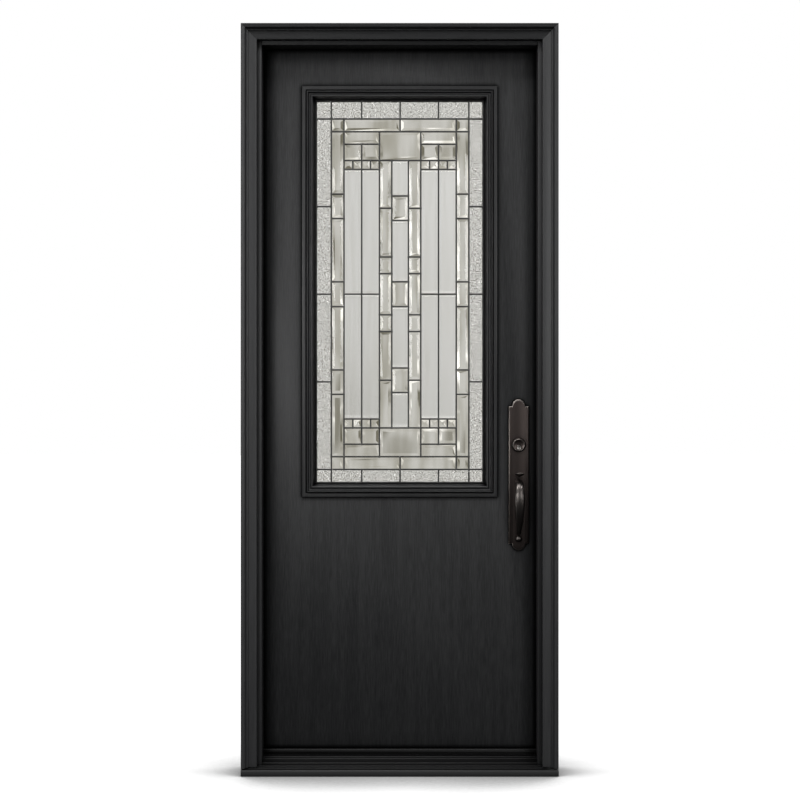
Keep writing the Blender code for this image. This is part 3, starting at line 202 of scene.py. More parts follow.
def dark_metal(name, colour, worn, roughness, wear_from, hollow, cloud):
    """Metal with mottled patina that is rubbed brighter along its edges, and painted shade in its hollows.
    """
    material, tree, shader = new_material(name, colour, roughness, 1.0)
    mottle = noise_value(tree, (260.0, 260.0, 260.0), 4.0)
    edge = node(tree, "ShaderNodeNewGeometry").outputs["Pointiness"]
    ragged_edge = combined(tree, edge, swung(tree, mottle, 0.0, 0.01))
    wear = ranged(tree, ragged_edge, wear_from, WEAR_FULL, 0.0, 1.0)
    # Darker where less open: painted shade.
    colour_with_painted_shade(tree, shader, open_share(tree, *hollow), mixed(tree, wear, colour, worn))
    link(tree, swung(tree, mottle, roughness, cloud), shader, "Roughness")
    return material


def plain_dark(name, colour, roughness, speckle, depth):
    """A moulded or rubber surface with a fine even texture, and painted shade on its colour and gloss in
    hollows.
    """
    material, tree, shader = new_material(name, colour, roughness)
    fine = noise_value(tree, (speckle, speckle, speckle), 3.0)
    # Darker where less open, on colour and gloss: painted shade.
    free = open_share(tree, *DEEP)
    pale = tuple(channel * 1.5 for channel in colour)
    colour_with_painted_shade(tree, shader, free, mixed(tree, ranged(tree, fine, 0.35, 0.7, 0.0, 1.0), colour, pale))
    link(tree, combined(tree, free, 0.5, "MULTIPLY"), shader, "Specular IOR Level")
    link(tree, swung(tree, fine, roughness, 0.06), shader, "Roughness")
    bumped(tree, shader, fine, depth)
    return material


def brushed(name, colour, roughness, scale, depth):
    """Metal brushed or drawn along one axis, with painted shade in hollows."""
    material, tree, shader = new_material(name, colour, roughness, 1.0)
    fine = noise_value(tree, scale, 3.0)
    # Darker where less open: painted shade.
    free = open_share(tree, *SATIN)
    dark = tuple(channel * 0.72 for channel in colour)
    colour_with_painted_shade(tree, shader, free, mixed(tree, ranged(tree, fine, 0.3, 0.75, 0.0, 1.0), dark, colour))
    rough = ranged(tree, fine, NOISE_LOW, NOISE_HIGH, roughness - 0.06, roughness + 0.08)
    link(tree, rough, shader, "Roughness")
    bumped(tree, shader, fine, depth)
    return material


def sill_finish(name, top_shaded, front_lit, roughness, speckle):
    """The sill's dark finish, darker on its top faces and paler on its front faces by which way they look:
    painted shade and painted light.
    """
    material, tree, shader = new_material(name, top_shaded, roughness)
    fine = noise_value(tree, (speckle, speckle, speckle), 3.0)
    facing = node(tree, "ShaderNodeNewGeometry").outputs["Normal"]
    outward = node(tree, "ShaderNodeSeparateXYZ", {"Vector": facing}).outputs["Y"]
    colour = mixed(tree, ranged(tree, outward, -0.9, -0.4, 1.0, 0.0), top_shaded, front_lit)
    # Darker where less open, on colour and gloss: painted shade.
    free = open_share(tree, *DEEP)
    colour_with_painted_shade(tree, shader, free, colour)
    link(tree, combined(tree, free, 0.38, "MULTIPLY"), shader, "Specular IOR Level")
    link(tree, swung(tree, fine, roughness, 0.06), shader, "Roughness")
    return material


def clear_glass(name, colour, roughness, shade_tint, shade_tint_scale, shade_tint_range=(0.35, 0.65)):
    """Clear see-through glass with darker tinted patches, painted shade standing in for the darker view
    through it.
    """
    material, tree, shader = new_material(name, colour, roughness)
    shader.inputs["Transmission Weight"].default_value = 1.0
    shader.inputs["IOR"].default_value = 1.50
    # Darker patches: painted shade for what is seen through the glass.
    patches = ranged(tree, noise_value(tree, shade_tint_scale, 2.0), *shade_tint_range, 0.0, 1.0)
    link(tree, mixed(tree, patches, colour, shade_tint), shader, "Base Color")
    return material


# Reach in metres and power of the painted shade in hollows
DEEP = (0.050, 1.05)
SHALLOW = (0.020, 0.8)
FINE = (0.020, 2.4)
CONTACT_SHADOW = (0.013, 2.8)
LEADED = (0.030, 1.4)
SATIN = (0.040, 0.6)
FLOOR_SHADE = (0.46, 2.0)
WEAR_FULL = 0.60           # an edge this sharp is fully rubbed

FIBREGLASS = grained_black(
    "black_fibreglass", (0.021, 0.0215, 0.0225), lift=1.5, roughness=0.43,
    grain_scale=(420.0, 420.0, 20.0), grain_depth=0.00022, sheen=0.5, sheen_swing=0.08,
    hollow=DEEP, contact_shadow=CONTACT_SHADOW,
)
# One black paint in two copies: paler and glossier on the uprights as painted light, darker and duller
# across the head as painted shade.
PAINT_UP_LIT = grained_black(
    "black_painted_wood_lit", (0.031, 0.0315, 0.033), lift=1.15, roughness=0.44,
    grain_scale=(420.0, 420.0, 9.0), grain_depth=0.00005, sheen=0.70, sheen_swing=0.05, hollow=SHALLOW,
)
PAINT_ACROSS_SHADED = grained_black(
    "black_painted_head_shaded", (0.011, 0.0115, 0.0125), lift=1.15, roughness=0.44,
    grain_scale=(9.0, 420.0, 420.0), grain_depth=0.00005, sheen=0.38, sheen_swing=0.05, hollow=SHALLOW,
)
MOULDING = grained_black(
    "black_moulding", (0.020, 0.0205, 0.0215), lift=1.05, roughness=0.37,
    grain_scale=(300.0, 300.0, 60.0), grain_depth=0.00001, sheen=0.72, sheen_swing=0.02, hollow=FINE,
)
COMPOSITE = plain_dark(
    "black_composite", (0.011, 0.011, 0.011), roughness=0.50, speckle=1400.0, depth=0.00006,
)
RUBBER = plain_dark(
    "black_seal", (0.010, 0.010, 0.010), roughness=0.75, speckle=1100.0, depth=0.00008,
)
DECK_FINISH = sill_finish(
    "dark_sill", top_shaded=(0.006, 0.006, 0.0062), front_lit=(0.078, 0.079, 0.080), roughness=0.46, speckle=900.0,
)
CAME = dark_metal(
    "dark_came", (0.075, 0.075, 0.073), worn=(0.19, 0.19, 0.185), roughness=0.45, wear_from=0.52,
    hollow=LEADED, cloud=0.03,
)
SOLDER = dark_metal(
    "solder", (0.16, 0.16, 0.155), worn=(0.28, 0.28, 0.27), roughness=0.38, wear_from=0.52,
    hollow=LEADED, cloud=0.03,
)
BRONZE = dark_metal(
    "dark_bronze", (0.066, 0.054, 0.050), worn=(0.20, 0.17, 0.15), roughness=0.31, wear_from=0.53,
    hollow=(0.012, 1.2), cloud=0.01,
)
# A pale copy of the bronze for the plate's chamfer, the collar's crest and the thumb piece: painted
# highlights.
HIGHLIGHT_BRONZE = dark_metal(
    "painted_highlight_bronze", (0.25, 0.225, 0.21), worn=(0.32, 0.28, 0.25), roughness=0.30, wear_from=0.53,
    hollow=(0.012, 0.5), cloud=0.005,
)
# A lighter copy of the bronze for the grip and its screw, so their shine shows brighter: painted light.
GRIP_BRONZE = dark_metal(
    "lighter_bronze_lit", (0.120, 0.108, 0.102), worn=(0.120, 0.108, 0.102), roughness=0.31, wear_from=0.53,
    hollow=(0.015, 0.8), cloud=0.005,
)
NICKEL = brushed(
    "satin_nickel", (0.55, 0.53, 0.50), roughness=0.30, scale=(700.0, 700.0, 12.0), depth=0.00002,
)
# Each glass has a darker tint in patches, small specks on the granite: painted shade for the view through
# it.
CLEAR = clear_glass(
    "clear_bevelled_glass", (0.93, 0.92, 0.88), roughness=0.02, shade_tint=(0.68, 0.665, 0.60),
    shade_tint_scale=(18.0, 1.0, 4.0),
)
DRAWN = clear_glass(
    "clear_drawn_glass", (0.97, 0.97, 0.96), roughness=0.15, shade_tint=(0.93, 0.93, 0.91),
    shade_tint_scale=(70.0, 1.0, 4.0),
)
GRANITE = clear_glass(
    "clear_granite_glass", (0.99, 0.99, 0.98), roughness=0.05, shade_tint=(0.40, 0.39, 0.36),
    shade_tint_scale=(310.0, 1.0, 310.0), shade_tint_range=(0.50, 0.62),
)


# Mesh helpers


# Up to these angles in degrees the faces of a mesh are smooth
MOULDING_ANGLE = 28
METAL_ANGLE = 30
TURNED_ANGLE = 35
CAME_ANGLE = 50
SOLDER_ANGLE = 60


def add_piece(name, mesh, material, body, stands_for=()):
    """A finished mesh as a piece that rides on a body."""
    obj = bpy.data.objects.new(name, mesh)
    bpy.context.scene.collection.objects.link(obj)
    mesh.materials.clear()
    mesh.materials.append(material)
    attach(obj, body)
    if stands_for:
        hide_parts(*stands_for)


def mesh_from(name, bm, smooth_angle=None):
    """A mesh with its faces turned outwards, smooth up to an angle in degrees."""
    bmesh.ops.recalc_face_normals(bm, faces=bm.faces)
    mesh = bpy.data.meshes.new(name)
    bm.to_mesh(mesh)
    bm.free()
    if smooth_angle:
        mesh.shade_smooth()
        mesh.set_sharp_from_angle(angle=math.radians(smooth_angle))
    return mesh


def loft(bm, rings, closed=False):
    """Join rings with the same number of points, with caps unless the loft runs round."""
    loops = [[bm.verts.new(point) for point in ring] for ring in rings]
    following = loops[1:] + loops[:1] if closed else loops[1:]
    for ring, other in zip(loops, following):
        for index, vertex in enumerate(ring):
            after = (index + 1) % len(ring)
            bm.faces.new((vertex, ring[after], other[after], other[index]))
    if not closed:
        bm.faces.new(loops[0])
        bm.faces.new(loops[-1])


def arc(centre, radius, start_deg, end_deg, steps):
    """Points along a round stretch of an outline."""
    points = []
    for step in range(steps + 1):
        angle = math.radians(start_deg + (end_deg - start_deg) * step / steps)
        points.append((centre[0] + radius * math.cos(angle), centre[1] + radius * math.sin(angle)))
    return points


def eased(points, steps):
    """A smooth curve through the points, with the same ends."""
    ends = [points[0]] + list(points) + [points[-1]]
    curve = []
    for before, start, end, after in zip(ends, ends[1:], ends[2:], ends[3:]):
        for step in range(steps):
            t = step / steps
            place = []
            for a, b, c, d in zip(before, start, end, after):
                place.append(0.5 * (2 * b + (c - a) * t + (2 * a - 5 * b + 4 * c - d) * t ** 2
                                    + (3 * b - a - 3 * c + d) * t ** 3))
            curve.append(tuple(place))
    curve.append(tuple(points[-1]))
    return curve


def turned_mesh(name, profile, place, steps):
    """A profile of (radius, height) from top to bottom, turned about Z and then stood facing outside."""
    bm = bmesh.new()
    rings = []
    for radius, height in profile:
        ring = []
        for step in range(steps):
            angle = 2 * math.pi * step / steps
            ring.append(Vector((radius * math.cos(angle), radius * math.sin(angle), height)))
        rings.append(ring)
    loft(bm, rings)
    bmesh.ops.transform(bm, matrix=Matrix.Translation(place) @ OUTWARD, verts=bm.verts)
    return mesh_from(name, bm, TURNED_ANGLE)


# Casing


# From the outer edge inwards: a flat-topped bead, a slope, a raised fillet and a plain band
CASING_BEAD = 0.0122
CASING_SLOPE = 0.0046
CASING_FILLET = 0.0040
CASING_STEP = 0.0036           # fillet's rise over the band
CASING_QUIRK = 0.0010
CASING_ROUND = 0.0024
CASING_BAND_SHARE = 0.68       # band's height as a share of the casing's thickness
CASING_FOOT_GAP = 0.0040
NOSE_HEIGHT = 0.0170
NOSE_DEPTH = 0.0020            # the deck starts to rise this far behind its front edge
DECK_SLOPE = (DECK_HIGH.z - NOSE_HEIGHT) / (DECK_HIGH.y - DECK_LOW.y - NOSE_DEPTH)


def casing_section():
    """Casing section as (distance out from its inner edge, height over the wall)."""
    width = CASING_HIGH.x - CASING_LOW.x - SLIVER
    thick = -CASING_LOW.y - SLIVER
    quirk, radius = CASING_QUIRK, CASING_ROUND
    band = thick * CASING_BAND_SHARE
    shoulder = width - CASING_BEAD
    foot = shoulder - CASING_SLOPE
    step = foot - CASING_FILLET
    points = [(0.0, 0.0)]
    points += arc((2 * quirk, band - 2 * quirk), 2 * quirk, 180, 90, 6)
    raised = band + CASING_STEP
    points += [(step - quirk, band), (step, band + quirk * 0.4)]
    points += arc((step + quirk * 1.6, raised - quirk), quirk, 160, 90, 4)
    points += [(foot - quirk, raised), (foot, raised - quirk * 0.3), (foot + quirk, raised + quirk * 0.1)]
    points += arc((shoulder + radius, thick - radius), radius, 155, 90, 6)
    points += arc((width - radius, thick - radius), radius, 90, 0, 8)
    points.append((width, 0.0))
    return points


def deck_height(depth):
    """Height of the sill deck's plain surface at a depth."""
    return NOSE_HEIGHT + (depth - DECK_LOW.y - NOSE_DEPTH) * DECK_SLOPE


def build_casing():
    """Three lengths of brickmould, mitred at the top corners and cut to the sill's slope."""
    inner, top = CASING_LOW.x, CASING_HEAD_LOW.z
    joint = GAP / 2
    foot, mitre, head = [], [], []
    for out, height in casing_section():
        across, depth = inner + out, -height
        foot.append(Vector((across, depth, deck_height(depth) + CASING_FOOT_GAP)))
        mitre.append(Vector((across, depth, top + out - joint)))
        head.append(Vector((across - joint, depth, top + out)))
    for side in ("right", "left"):
        turn = Matrix.Identity(4) if side == "right" else MIRROR_X
        bm = bmesh.new()
        loft(bm, [[turn @ point for point in ring] for ring in (foot, mitre)])
        name = f"casing_{side}"
        mesh = mesh_from(name, bm, MOULDING_ANGLE)
        add_piece(name, mesh, PAINT_UP_LIT, "frame", [f"brickmould_{side}"])
    bm = bmesh.new()
    loft(bm, [[MIRROR_X @ point for point in head], head])
    mesh = mesh_from("casing_head", bm, MOULDING_ANGLE)
    add_piece("casing_head", mesh, PAINT_ACROSS_SHADED, "frame", ["brickmould_head"])


# Lite frame


LITE_FACE = 0.0378             # width of the moulding, from its outer edge to the glass opening
LITE_TAIL = 0.0200             # the part that enters the slab starts this far in
LITE_STEPS = 4
LITE_CREST = (
    (0.0136, 0.0050), (0.0140, 0.0084), (0.0148, 0.0098), (0.0166, 0.0098),
    (0.0176, 0.0082), (0.0196, 0.0058), (0.0224, 0.0046), (0.0250, 0.0050),
)
LITE_INNER_BEAD = (
    (0.0257, 0.0060), (0.0266, 0.0071), (0.0282, 0.0075), (0.0298, 0.0071),
    (0.0311, 0.0056), (0.0319, 0.0015), (0.0327, -0.0055), (0.0344, -0.0090),
)


def lite_section(reach):
    """Moulding of the lite frame as (distance in from its outer edge, height over the slab)."""
    points = [(0.0, GAP), (0.0, 0.0050)]
    points += arc((0.0014, 0.0050), 0.0014, 180, 90, LITE_STEPS)[1:]
    points += arc((0.0096, 0.0048), 0.0016, 90, 20, LITE_STEPS)
    points += [(0.0122, 0.0036), (0.0132, 0.0036)]
    points += eased(LITE_CREST, LITE_STEPS) + eased(LITE_INNER_BEAD, LITE_STEPS)
    points += [(LITE_FACE, 4 * GAP - reach), (LITE_FACE, GAP - reach)]
    points += [(LITE_TAIL, GAP - reach), (LITE_TAIL, GAP)]
    return points


def build_lite_frame(name, face_y, outward, reach, stands_for):
    """A moulding run round the lite with mitred corners."""
    rings = []
    for side_x, side_z in ((-1, -1), (1, -1), (1, 1), (-1, 1)):
        ring = []
        for inset, height in lite_section(reach):
            across = side_x * (LITE_HIGH.x - inset)
            edge = LITE_HIGH.z - inset if side_z > 0 else LITE_LOW.z + inset
            ring.append(Vector((across, face_y + outward * height, edge)))
        rings.append(ring)
    bm = bmesh.new()
    loft(bm, rings, True)
    add_piece(name, mesh_from(name, bm, MOULDING_ANGLE), MOULDING, "door", [stands_for])


# Leading


CAME_HALF = 0.0022             # half the width of a came
CAME_BORDER = 0.0030           # width of the came round the panel
CAME_SECTION = ((0.0, 1.0), (0.30, 0.97), (0.58, 0.82), (0.80, 0.58), (0.94, 0.30), (1.0, 0.0))
PANE_X = LEAD_HIGH.x + GAP
PANE_Z = (LEAD_HIGH.z - LEAD_LOW.z) / 2 + GAP
PANE_CENTRE = middle(LEAD_LOW.z, LEAD_HIGH.z)
LEAD_THICK = LEAD_HIGH.y - LEAD_LOW.y
PATTERN_DROP = 0.0065          # the pattern sits this far below the middle of the panel
PATTERN_SHIFT = 0.0012         # and this far to the right

# Columns and bands of the pattern, from its centre
BORDER_X = PANE_X - 0.0451
NARROW_X = BORDER_X - 0.0367
INNER_X = 0.0600
SQUARE_X = (NARROW_X + INNER_X) / 2
CENTRE_X = 0.0241
BORDER_Z = PANE_Z - 0.0475
BAND_Z = BORDER_Z - 0.0370
HEAD_Z = BAND_Z - 0.0363
CROSS_Z = HEAD_Z - 0.0473
TALL_Z = CROSS_Z - 0.0260
SMALL_SQUARES = 4              # in a row at each end of a pair of tall lights
NARROW_SPLITS_Z = (0.0360, 0.2197, 0.2906)
INNER_SPLITS_Z = (0.0597, 0.1083, 0.2496)
CENTRE_SPLITS_Z = (0.0361, 0.2141, 0.2852)


def mirrored_splits(splits, end):
    """Heights that part a column, mirrored below the centre, between its two ends."""
    return [-end] + [-height for height in reversed(splits)] + list(splits) + [end]


def column(near, far, heights, kind):
    """The lights of one column, from its foot to its head."""
    return [(near, far, low, high, kind) for low, high in zip(heights, heights[1:])]


def lights_of_one_half():
    """Every light right of the leading's centre, as (x0, x1, z0, z1, kind)."""
    edge_x, edge_z = PANE_X - CAME_BORDER, PANE_Z - CAME_BORDER
    lights = column(BORDER_X, edge_x, [-BORDER_Z, -BORDER_Z / 2, 0, BORDER_Z / 2, BORDER_Z], "textured")
    for side in (-1, 1):
        low, high = sorted((side * edge_z, side * BORDER_Z))
        for near, far in ((0, SQUARE_X), (SQUARE_X, BORDER_X), (BORDER_X, edge_x)):
            lights.append((near, far, low, high, "textured"))
        low, high = sorted((side * BORDER_Z, side * BAND_Z))
        for near, far in ((0, NARROW_X), (NARROW_X, BORDER_X)):
            lights.append((near, far, low, high, "bevelled"))
        low, high = sorted((side * BAND_Z, side * HEAD_Z))
        lights.append((INNER_X, NARROW_X, low, high, "bevelled"))
        low, high = sorted((side * HEAD_Z, side * CROSS_Z))
        lights.append((INNER_X, SQUARE_X, low, high, "bevelled"))
        lights.append((SQUARE_X, NARROW_X, low, high, "bevelled"))
        low, high = sorted((side * CROSS_Z, side * TALL_Z))
        step = (NARROW_X - INNER_X) / SMALL_SQUARES
        for index in range(SMALL_SQUARES):
            near = INNER_X + index * step
            lights.append((near, near + step, low, high, "bevelled"))
    for near, far in ((INNER_X, SQUARE_X), (SQUARE_X, NARROW_X)):
        lights += column(near, far, [-TALL_Z, 0, TALL_Z], "drawn")
    lights += column(NARROW_X, BORDER_X, mirrored_splits(NARROW_SPLITS_Z, BAND_Z), "bevelled")
    lights += column(CENTRE_X, INNER_X, mirrored_splits(INNER_SPLITS_Z, CROSS_Z), "bevelled")
    return lights


def all_lights():
    """Every light of the leaded panel, between the middles of its cames."""
    halves = lights_of_one_half()
    lights = list(halves)
    lights += [(-far, -near, low, high, kind) for near, far, low, high, kind in halves]
    for side in (-1, 1):
        low, high = sorted((side * BAND_Z, side * CROSS_Z))
        lights.append((-INNER_X, INNER_X, low, high, "bevelled"))
    heights = mirrored_splits(CENTRE_SPLITS_Z, CROSS_Z)
    for index, (low, high) in enumerate(zip(heights, heights[1:])):
        lights.append((-CENTRE_X, CENTRE_X, low, high, "bevelled" if index % 2 else "drawn"))
    edge_x, edge_z = PANE_X - CAME_BORDER, PANE_Z - CAME_BORDER
    reach = CAME_HALF * 2
    placed = []
    for left, right, low, high, kind in lights:
        left = -edge_x if left <= -edge_x + reach else left + PATTERN_SHIFT
        right = edge_x if right >= edge_x - reach else right + PATTERN_SHIFT
        low = -edge_z if low <= -edge_z + reach else low - PATTERN_DROP
        high = edge_z if high >= edge_z - reach else high - PATTERN_DROP
        placed.append((left, right, low + PANE_CENTRE, high + PANE_CENTRE, kind))
    return placed


LIGHTS = all_lights()


def inset_ring(light, inset, depth):
    """A light's rectangle drawn in by an inset, at a depth that may differ at each corner."""
    left, right, low, high, _ = light
    depths = depth if isinstance(depth, (list, tuple)) else [depth] * 4
    corners = (
        (left + inset, low + inset), (right - inset, low + inset),
        (right - inset, high - inset), (left + inset, high - inset),
    )
    return [Vector((x, y, z)) for (x, z), y in zip(corners, depths)]


def build_leading(name, glass_y, outward, stands_for):
    """Half-round cames round every light and round the whole panel."""
    base = glass_y + outward * GAP
    bm = bmesh.new()
    for light in LIGHTS:
        rings = [inset_ring(light, CAME_HALF * share, base + outward * LEAD_THICK * up)
                 for share, up in CAME_SECTION]
        rings.append(inset_ring(light, 0.0, base))
        loft(bm, rings, True)
    left, right = -PANE_X + CAME_BORDER, PANE_X - CAME_BORDER
    low, high = PANE_CENTRE - PANE_Z + CAME_BORDER, PANE_CENTRE + PANE_Z - CAME_BORDER
    outline = (left, right, low, high, "border")
    reach = CAME_BORDER - GAP
    rings = [inset_ring(outline, -reach * share, base + outward * LEAD_THICK * up)
             for share, up in CAME_SECTION]
    rings.append(inset_ring(outline, 0.0, base))
    loft(bm, rings, True)
    add_piece(name, mesh_from(name, bm, CAME_ANGLE), CAME, "door", [stands_for])


SOLDER_RADIUS = 0.0030
SOLDER_SIDES = 10
SOLDER_SECTION = ((1.0, 0.0), (0.94, 0.45), (0.75, 0.80), (0.40, 0.97))


def build_solder(name, glass_y, outward):
    """Low soldered joints over the crossings."""
    corners = set()
    for left, right, low, high, _ in LIGHTS:
        for x in (left, right):
            for z in (low, high):
                corners.add((round(x, 4), round(z, 4)))
    base = glass_y + outward * (GAP + LEAD_THICK * 0.35)
    bm = bmesh.new()
    for x, z in sorted(corners):
        radius = SOLDER_RADIUS * random.uniform(0.85, 1.15)
        rise = LEAD_THICK * random.uniform(0.60, 0.64)
        turn = random.uniform(0, math.pi)
        rings = []
        for share, up in SOLDER_SECTION:
            ring = []
            for step in range(SOLDER_SIDES):
                angle = turn + 2 * math.pi * step / SOLDER_SIDES
                swell = 1 + 0.12 * math.cos(2 * angle + turn * 7)
                place = (x + radius * share * swell * math.cos(angle), base + outward * rise * up,
                         z + radius * share * swell * math.sin(angle))
                ring.append(Vector(place))
            rings.append(ring)
        loft(bm, rings)
    add_piece(name, mesh_from(name, bm, SOLDER_ANGLE), SOLDER, "door")


# Glass


GLASS_BACK = GLASS_HIGH.y
GLASS_FACE = LEAD_HIGH.y + GAP      # front of the sheet, behind the cames
BEVEL_CREST = GLASS_LOW.y
BEVEL_FOOT = GLASS_FACE + 0.0008
BEVEL_WIDTH = 0.0080
CREST_DROP, CREST_TILT = 0.0004, 0.00018        # room for the tilt of a light's flat front
BACK_DROP, BACK_TILT = 0.0005, 0.00025          # and of its back
HEART = 0.0006                      # came's web beside each light
# Relief of the rolled lights: scale over the sheet, and heights in metres
GRANITE_SCALE = 125
GRANITE_BASE, GRANITE_RIDGE, GRANITE_GRIT = 0.00028, 0.00100, 0.00028
# Relief of the drawn lights: broad and narrow waves
REED_SCALES = (130, 330)
REED_BASE, REED_WAVE = 0.00012, 0.00005


def tilt(amount):
    """Small offsets for the four corners of a plane that is slightly out of true."""
    across, up = random.uniform(-amount, amount), random.uniform(-amount, amount)
    return [-across - up, across - up, across + up, -across + up]


def build_bevelled():
    """Lights with a bright bevel round a flat middle, each set very slightly out of true."""
    bm = bmesh.new()
    for light in (item for item in LIGHTS if item[4] == "bevelled"):
        left, right, low, high, _ = light
        width = BEVEL_WIDTH * random.uniform(0.90, 1.05)
        width = min(width, (min(right - left, high - low) / 2 - CAME_HALF) * 0.80)
        crest = [BEVEL_CREST + CREST_DROP + offset for offset in tilt(CREST_TILT)]
        back = [GLASS_BACK - BACK_DROP + offset for offset in tilt(BACK_TILT)]
        rings = [
            inset_ring(light, HEART, back),
            inset_ring(light, HEART, BEVEL_FOOT),
            inset_ring(light, CAME_HALF + GAP, BEVEL_FOOT),
            inset_ring(light, CAME_HALF + GAP + width, crest),
        ]
        loft(bm, rings)
    mesh = mesh_from("bevelled_lights", bm)
    add_piece("bevelled_lights", mesh, CLEAR, "door", ["leaded_glass"])


def sheet_light(bm, light, pitch_x, pitch_z, relief):
    """A light whose front is a fine grid with relief, closed by flat sides and back."""
    left, right, low, high, _ = light
    left, right, low, high = left + HEART, right - HEART, low + HEART, high - HEART
    steps_x = max(2, round((right - left) / pitch_x))
    steps_z = max(2, round((high - low) / pitch_z))
    rows = []
    for row in range(steps_z + 1):
        z = low + (high - low) * row / steps_z
        line = []
        for index in range(steps_x + 1):
            x = left + (right - left) * index / steps_x
            line.append(bm.verts.new((x, GLASS_FACE + relief(x, z), z)))
        rows.append(line)
    for lower, upper in zip(rows, rows[1:]):
        for a, b, c, d in zip(lower, lower[1:], upper[1:], upper):
            bm.faces.new((a, b, c, d)).smooth = True
    rim = rows[0] + [line[-1] for line in rows[1:]] + rows[-1][-2::-1] + [line[0] for line in rows[-2:0:-1]]
    back = [bm.verts.new((vertex.co.x, GLASS_BACK, vertex.co.z)) for vertex in rim]
    for index, vertex in enumerate(rim):
        after = (index + 1) % len(rim)
        bm.faces.new((rim[after], vertex, back[index], back[after]))
    bm.faces.new(back)


def granite(x, z):
    """Small wandering ridges with finer grit on them, as on rolled granite glass."""
    place = Vector((x * GRANITE_SCALE, 3.3, z * GRANITE_SCALE))
    furrow = min(abs(noise.noise(place)) * 2.4, 1.0)
    grit = noise.noise(place * 1.9 + Vector((0.0, 7.0, 0.0)))
    return GRANITE_BASE + GRANITE_RIDGE * furrow + GRANITE_GRIT * grit


def reeds(x, z):
    """Shallow upright waves, as on drawn glass."""
    broad = noise.noise(Vector((x * REED_SCALES[0], 9.0, z * 3.0)))
    narrow = noise.noise(Vector((x * REED_SCALES[1], 5.0, z * 5.0)))
    return REED_BASE + REED_WAVE * (broad + 0.5 * narrow)


def build_sheets(name, lights, material, pitch_x, pitch_z, relief):
    """Lights of one kind of sheet, as one piece."""
    bm = bmesh.new()
    for light in lights:
        sheet_light(bm, light, pitch_x, pitch_z, relief)
    add_piece(name, mesh_from(name, bm), material, "door", ["leaded_glass"])


# Handleset


HANDLE_X = middle(PLATE_LOW.x, PLATE_HIGH.x)
PLATE_FACE_Y = PLATE_LOW.y
PLATE_BACK_Y = PLATE_HIGH.y
PLATE_HALF_WIDTH = (PLATE_HIGH.x - PLATE_LOW.x) / 2
PLATE_MIDDLE = middle(PLATE_LOW.z, PLATE_HIGH.z)
LOBE_HALF_WIDTH = 0.0194
LOBE_RISE = 0.0200
PLATE_CHAMFER, PLATE_DROP = 0.0021, 0.0013      # width and depth of the plate's chamfer, painted bright as a highlight
HIGHLIGHT_FLAT = 0.97                                # faces turned outside this squarely stay dark
PLATE_SHOULDER = (PLATE_HIGH.z - PLATE_LOW.z) / 2 - LOBE_RISE


def plate_outline(inset):
    """The handle plate: square shoulders with a round lobe at each end."""
    half = PLATE_HALF_WIDTH - inset
    shoulder = PLATE_SHOULDER - inset
    lobe = LOBE_HALF_WIDTH - inset
    rise = LOBE_RISE / LOBE_HALF_WIDTH
    top = [(half, shoulder)]
    top += [(across, shoulder + up * rise) for across, up in arc((0, 0), lobe, 0, 180, 40)]
    top.append((-half, shoulder))
    bottom = [(-across, -up) for across, up in top]
    return [(HANDLE_X + across, PLATE_MIDDLE + up) for across, up in top + bottom]


def build_plate():
    """Plate with a narrow chamfer painted bright as a highlight."""
    thick = PLATE_BACK_Y - PLATE_FACE_Y
    shoulder = thick - PLATE_DROP
    levels = [(0.0, 0.0), (0.0, shoulder - 0.0003), (0.0002, shoulder), (PLATE_CHAMFER, thick - 0.0001),
              (PLATE_CHAMFER + 0.0004, thick)]
    rings = []
    for inset, height in levels:
        rings.append([Vector((x, PLATE_BACK_Y - height, z)) for x, z in plate_outline(inset)])
    bm = bmesh.new()
    loft(bm, rings)
    mesh = mesh_from("escutcheon", bm, METAL_ANGLE)
    add_piece("escutcheon", mesh, BRONZE, "door", ["handle_plate"])
    paint_highlight_between(mesh, PLATE_FACE_Y + 0.00005, PLATE_FACE_Y + PLATE_DROP + 0.0001)


def paint_highlight_between(mesh, low_y, high_y):
    """Give a mesh's sloping faces between two depths the pale bronze: a painted highlight."""
    mesh.materials.append(HIGHLIGHT_BRONZE)
    for face in mesh.polygons:
        if low_y < face.center.y < high_y and abs(face.normal.y) < HIGHLIGHT_FLAT:
            face.material_index = 1


# Shares of the collar's radius and height, from the plug outwards
COLLAR_DOME = (
    (0.68, 0.82), (0.71, 0.94), (0.76, 1.0), (0.84, 0.93),
    (0.93, 0.66), (0.985, 0.32), (1.0, 0.12), (1.0, 0.0),
)
# Shares of the plug's radius and height, from its foot to the face round the keyway
PLUG_RIM = ((1.0, 0.0), (1.0, 0.80), (0.97, 0.94), (0.90, 1.0), (0.82, 1.0), (0.76, 0.90), (0.70, 0.88))
PLUG_STEPS = 48


def build_collar():
    """Domed collar round the key plug."""
    radius = (COLLAR_HIGH.x - COLLAR_LOW.x) / 2
    proud = COLLAR_HIGH.y - COLLAR_LOW.y
    dome = [(radius * share, proud * up) for share, up in COLLAR_DOME]
    profile = [(radius * 0.66, proud * 0.80)] + eased(dome, 4)
    place = (HANDLE_X, COLLAR_HIGH.y, middle(COLLAR_LOW.z, COLLAR_HIGH.z))
    mesh = turned_mesh("lock_collar", profile, place, 64)
    add_piece("lock_collar", mesh, BRONZE, "door", ["cylinder_collar"])
    # The collar's sloping crest gets the pale bronze: a painted highlight.
    paint_highlight_between(mesh, COLLAR_LOW.y - GAP, COLLAR_LOW.y + proud * 0.35)


